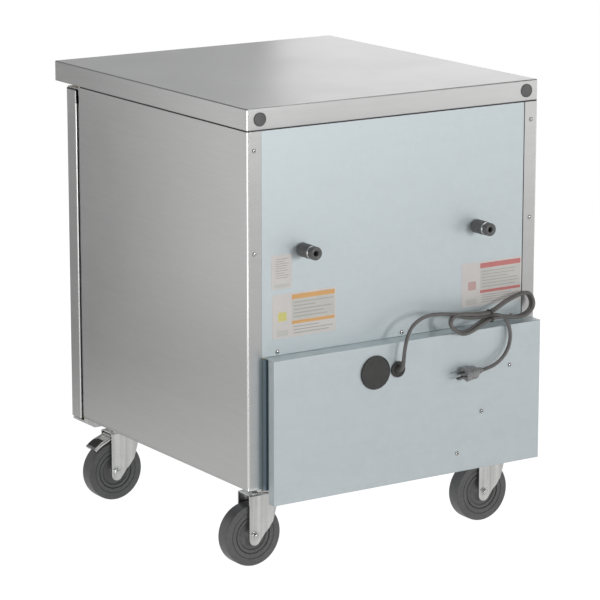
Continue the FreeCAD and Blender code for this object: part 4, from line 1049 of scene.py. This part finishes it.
def door_wrap():
    """Stainless pan of the door, bent round its four upright corners, with its foot plate."""
    def path(inset):
        half = [(343, DOOR_REAR - inset)] + door_corners(DOOR_BEND - inset)
        return half + [(-x, y) for x, y in reversed(half)]

    wrap = Build("stainless")
    wrap.rings([level(path(inset), DOOR_FOOT + rise) + level(path(SHEET)[::-1], DOOR_FOOT + rise)
                for inset, rise in ((0.6, 0), (0.15, 0.2), (0, 0.7), (0, GRIP_FOOT - DOOR_FOOT))])
    side, front, rear = HALF_WIDTH - SHEET, DOOR_FRONT + SHEET, DOOR_REAR - SHEET
    foot = rounded_rectangle((-side, side), (front, rear), 1.7, 4)
    wrap.prism(level(foot, DOOR_FOOT + 0.3), (0, 0, SHEET))
    wrap.finish("door_outer", "door_skin", "door", angle=50, flats=True)


def door_gasket():
    """Push-in magnetic gasket: a thin base, a bellows neck and the soft magnet tube, mitred at the corners."""
    gasket = Build("gasket_rubber")
    profile = [(0, 0), (22, 0), (22, 1.6), (16.6, 2.2), (15.4, 3.2), (15.2, 4.4), (17, 6), (18.6, 6.8), (18.9, 7.6),
               (18.9, 12.4), (18.4, 13.4), (17.4, 13.8), (11.6, 13.5), (4.6, 13.8), (3.6, 13.4), (3.1, 12.4),
               (3.1, 7.6), (3.4, 6.8), (5, 6), (6.8, 4.4), (6.6, 3.2), (5.4, 2.2), (0, 1.6)]
    gasket.rings([[(side * (335 - u), DOOR_REAR + v, z + up * u) for u, v in profile]
                  for side, z, up in ((-1, 190, 1), (1, 190, 1), (1, 845, -1), (-1, 845, -1))], True)
    gasket.finish("magnetic_gasket", "door_gasket", "door", angle=40)


def thermostat():
    """Fluted knob with a pale pointer, and a ring of tick marks on the housing round it."""
    knob = Build("black_plastic", "white_plastic")
    x, y, z = 140, -640, 793
    profile = [(-1, 14.6, 0), (-1.6, 15, 0), (-3.2, 15, 0), (-3.8, 14.4, 0), (-4, 12.8, 0.7), (-11.6, 12.2, 0.7),
               (-12.6, 11.4, 0.4), (-13, 10, 0)]
    knob.fluted(profile, (x, y, z), 16, 96)
    knob.use("white_plastic").box((x - 0.8, x + 0.8), (-653.3, -652.6), (z + 2.5, z + 9.8))
    knob.box((x - 0.8, x + 0.8), (-643.4, -642.4), (z + 12.6, z + 14.8))
    knob.finish("pointer_knob", "temperature_knob", "thermostat_knob", angle=30)

    dial = Build("black_plastic")
    for i in range(11):
        dial.frame = Matrix.Translation((x, y, z)) @ Matrix.Rotation(radians(135 - 27 * i), 4, "Y")
        wide = 0.35 + 0.05 * i
        dial.box((-wide, wide), (-0.25, 0.2), (17.5, 21.5 if i % 5 == 0 else 20))
    dial.finish("dial_ticks")


def fan_guard():
    """Wire rings and spokes over the air inlet of the duct."""
    guard = Build("shelf_epoxy")
    centre = Vector((-85, -201.4, 762))

    def away(turn):
        return Vector((cos(turn), 0, sin(turn)))

    for radius in (10, 19, 28, 37, 46, 52):
        guard.tube([centre + away(turn) * radius for turn in circle(60) + [2 * pi]], 0.9, 8)
    for degrees in (20, 80, 140, 200, 260, 320):
        out = away(radians(degrees))
        start = centre - Y_AXIS * 1.6
        guard.tube([start + out * 8, start + out * 30, start + out * 53], 1.1, 8)
        guard.lathe([(0, 4.2), (-1.2, 4.2), (-2.2, 2.6), (-2.4, 0)], start + out * 53 + Y_AXIS * 3, Y_AXIS, 20)
    guard.finish("inlet_guard")


def floor():
    """A plain floor far wider than the view."""
    mesh = bpy.data.meshes.new("floor")
    mesh.from_pydata(level(rectangle(FLOOR_SPAN, FLOOR_SPAN), 0), [], [(0, 1, 2, 3)])
    mesh.materials.append(material("floor_paint", studio_floor))
    add("floor", mesh)


for build in (camera, world, studio, dress_cad, mains_lead, screws, round_plugs, wall_spacers, stickers,
              caster_mounts):
    build()
for corner in CASTERS:
    for build in (caster_fork, caster_axle, caster_wheel):
        build(corner)
for corner in ("front_left", "front_right"):
    brake_pedal(corner)
for build in (side_skins, worktop_pan, flange_shadow_lines, worktop_gap_shadow, door_wrap, door_grip, door_gasket, thermostat,
              fan_guard, floor):
    build()
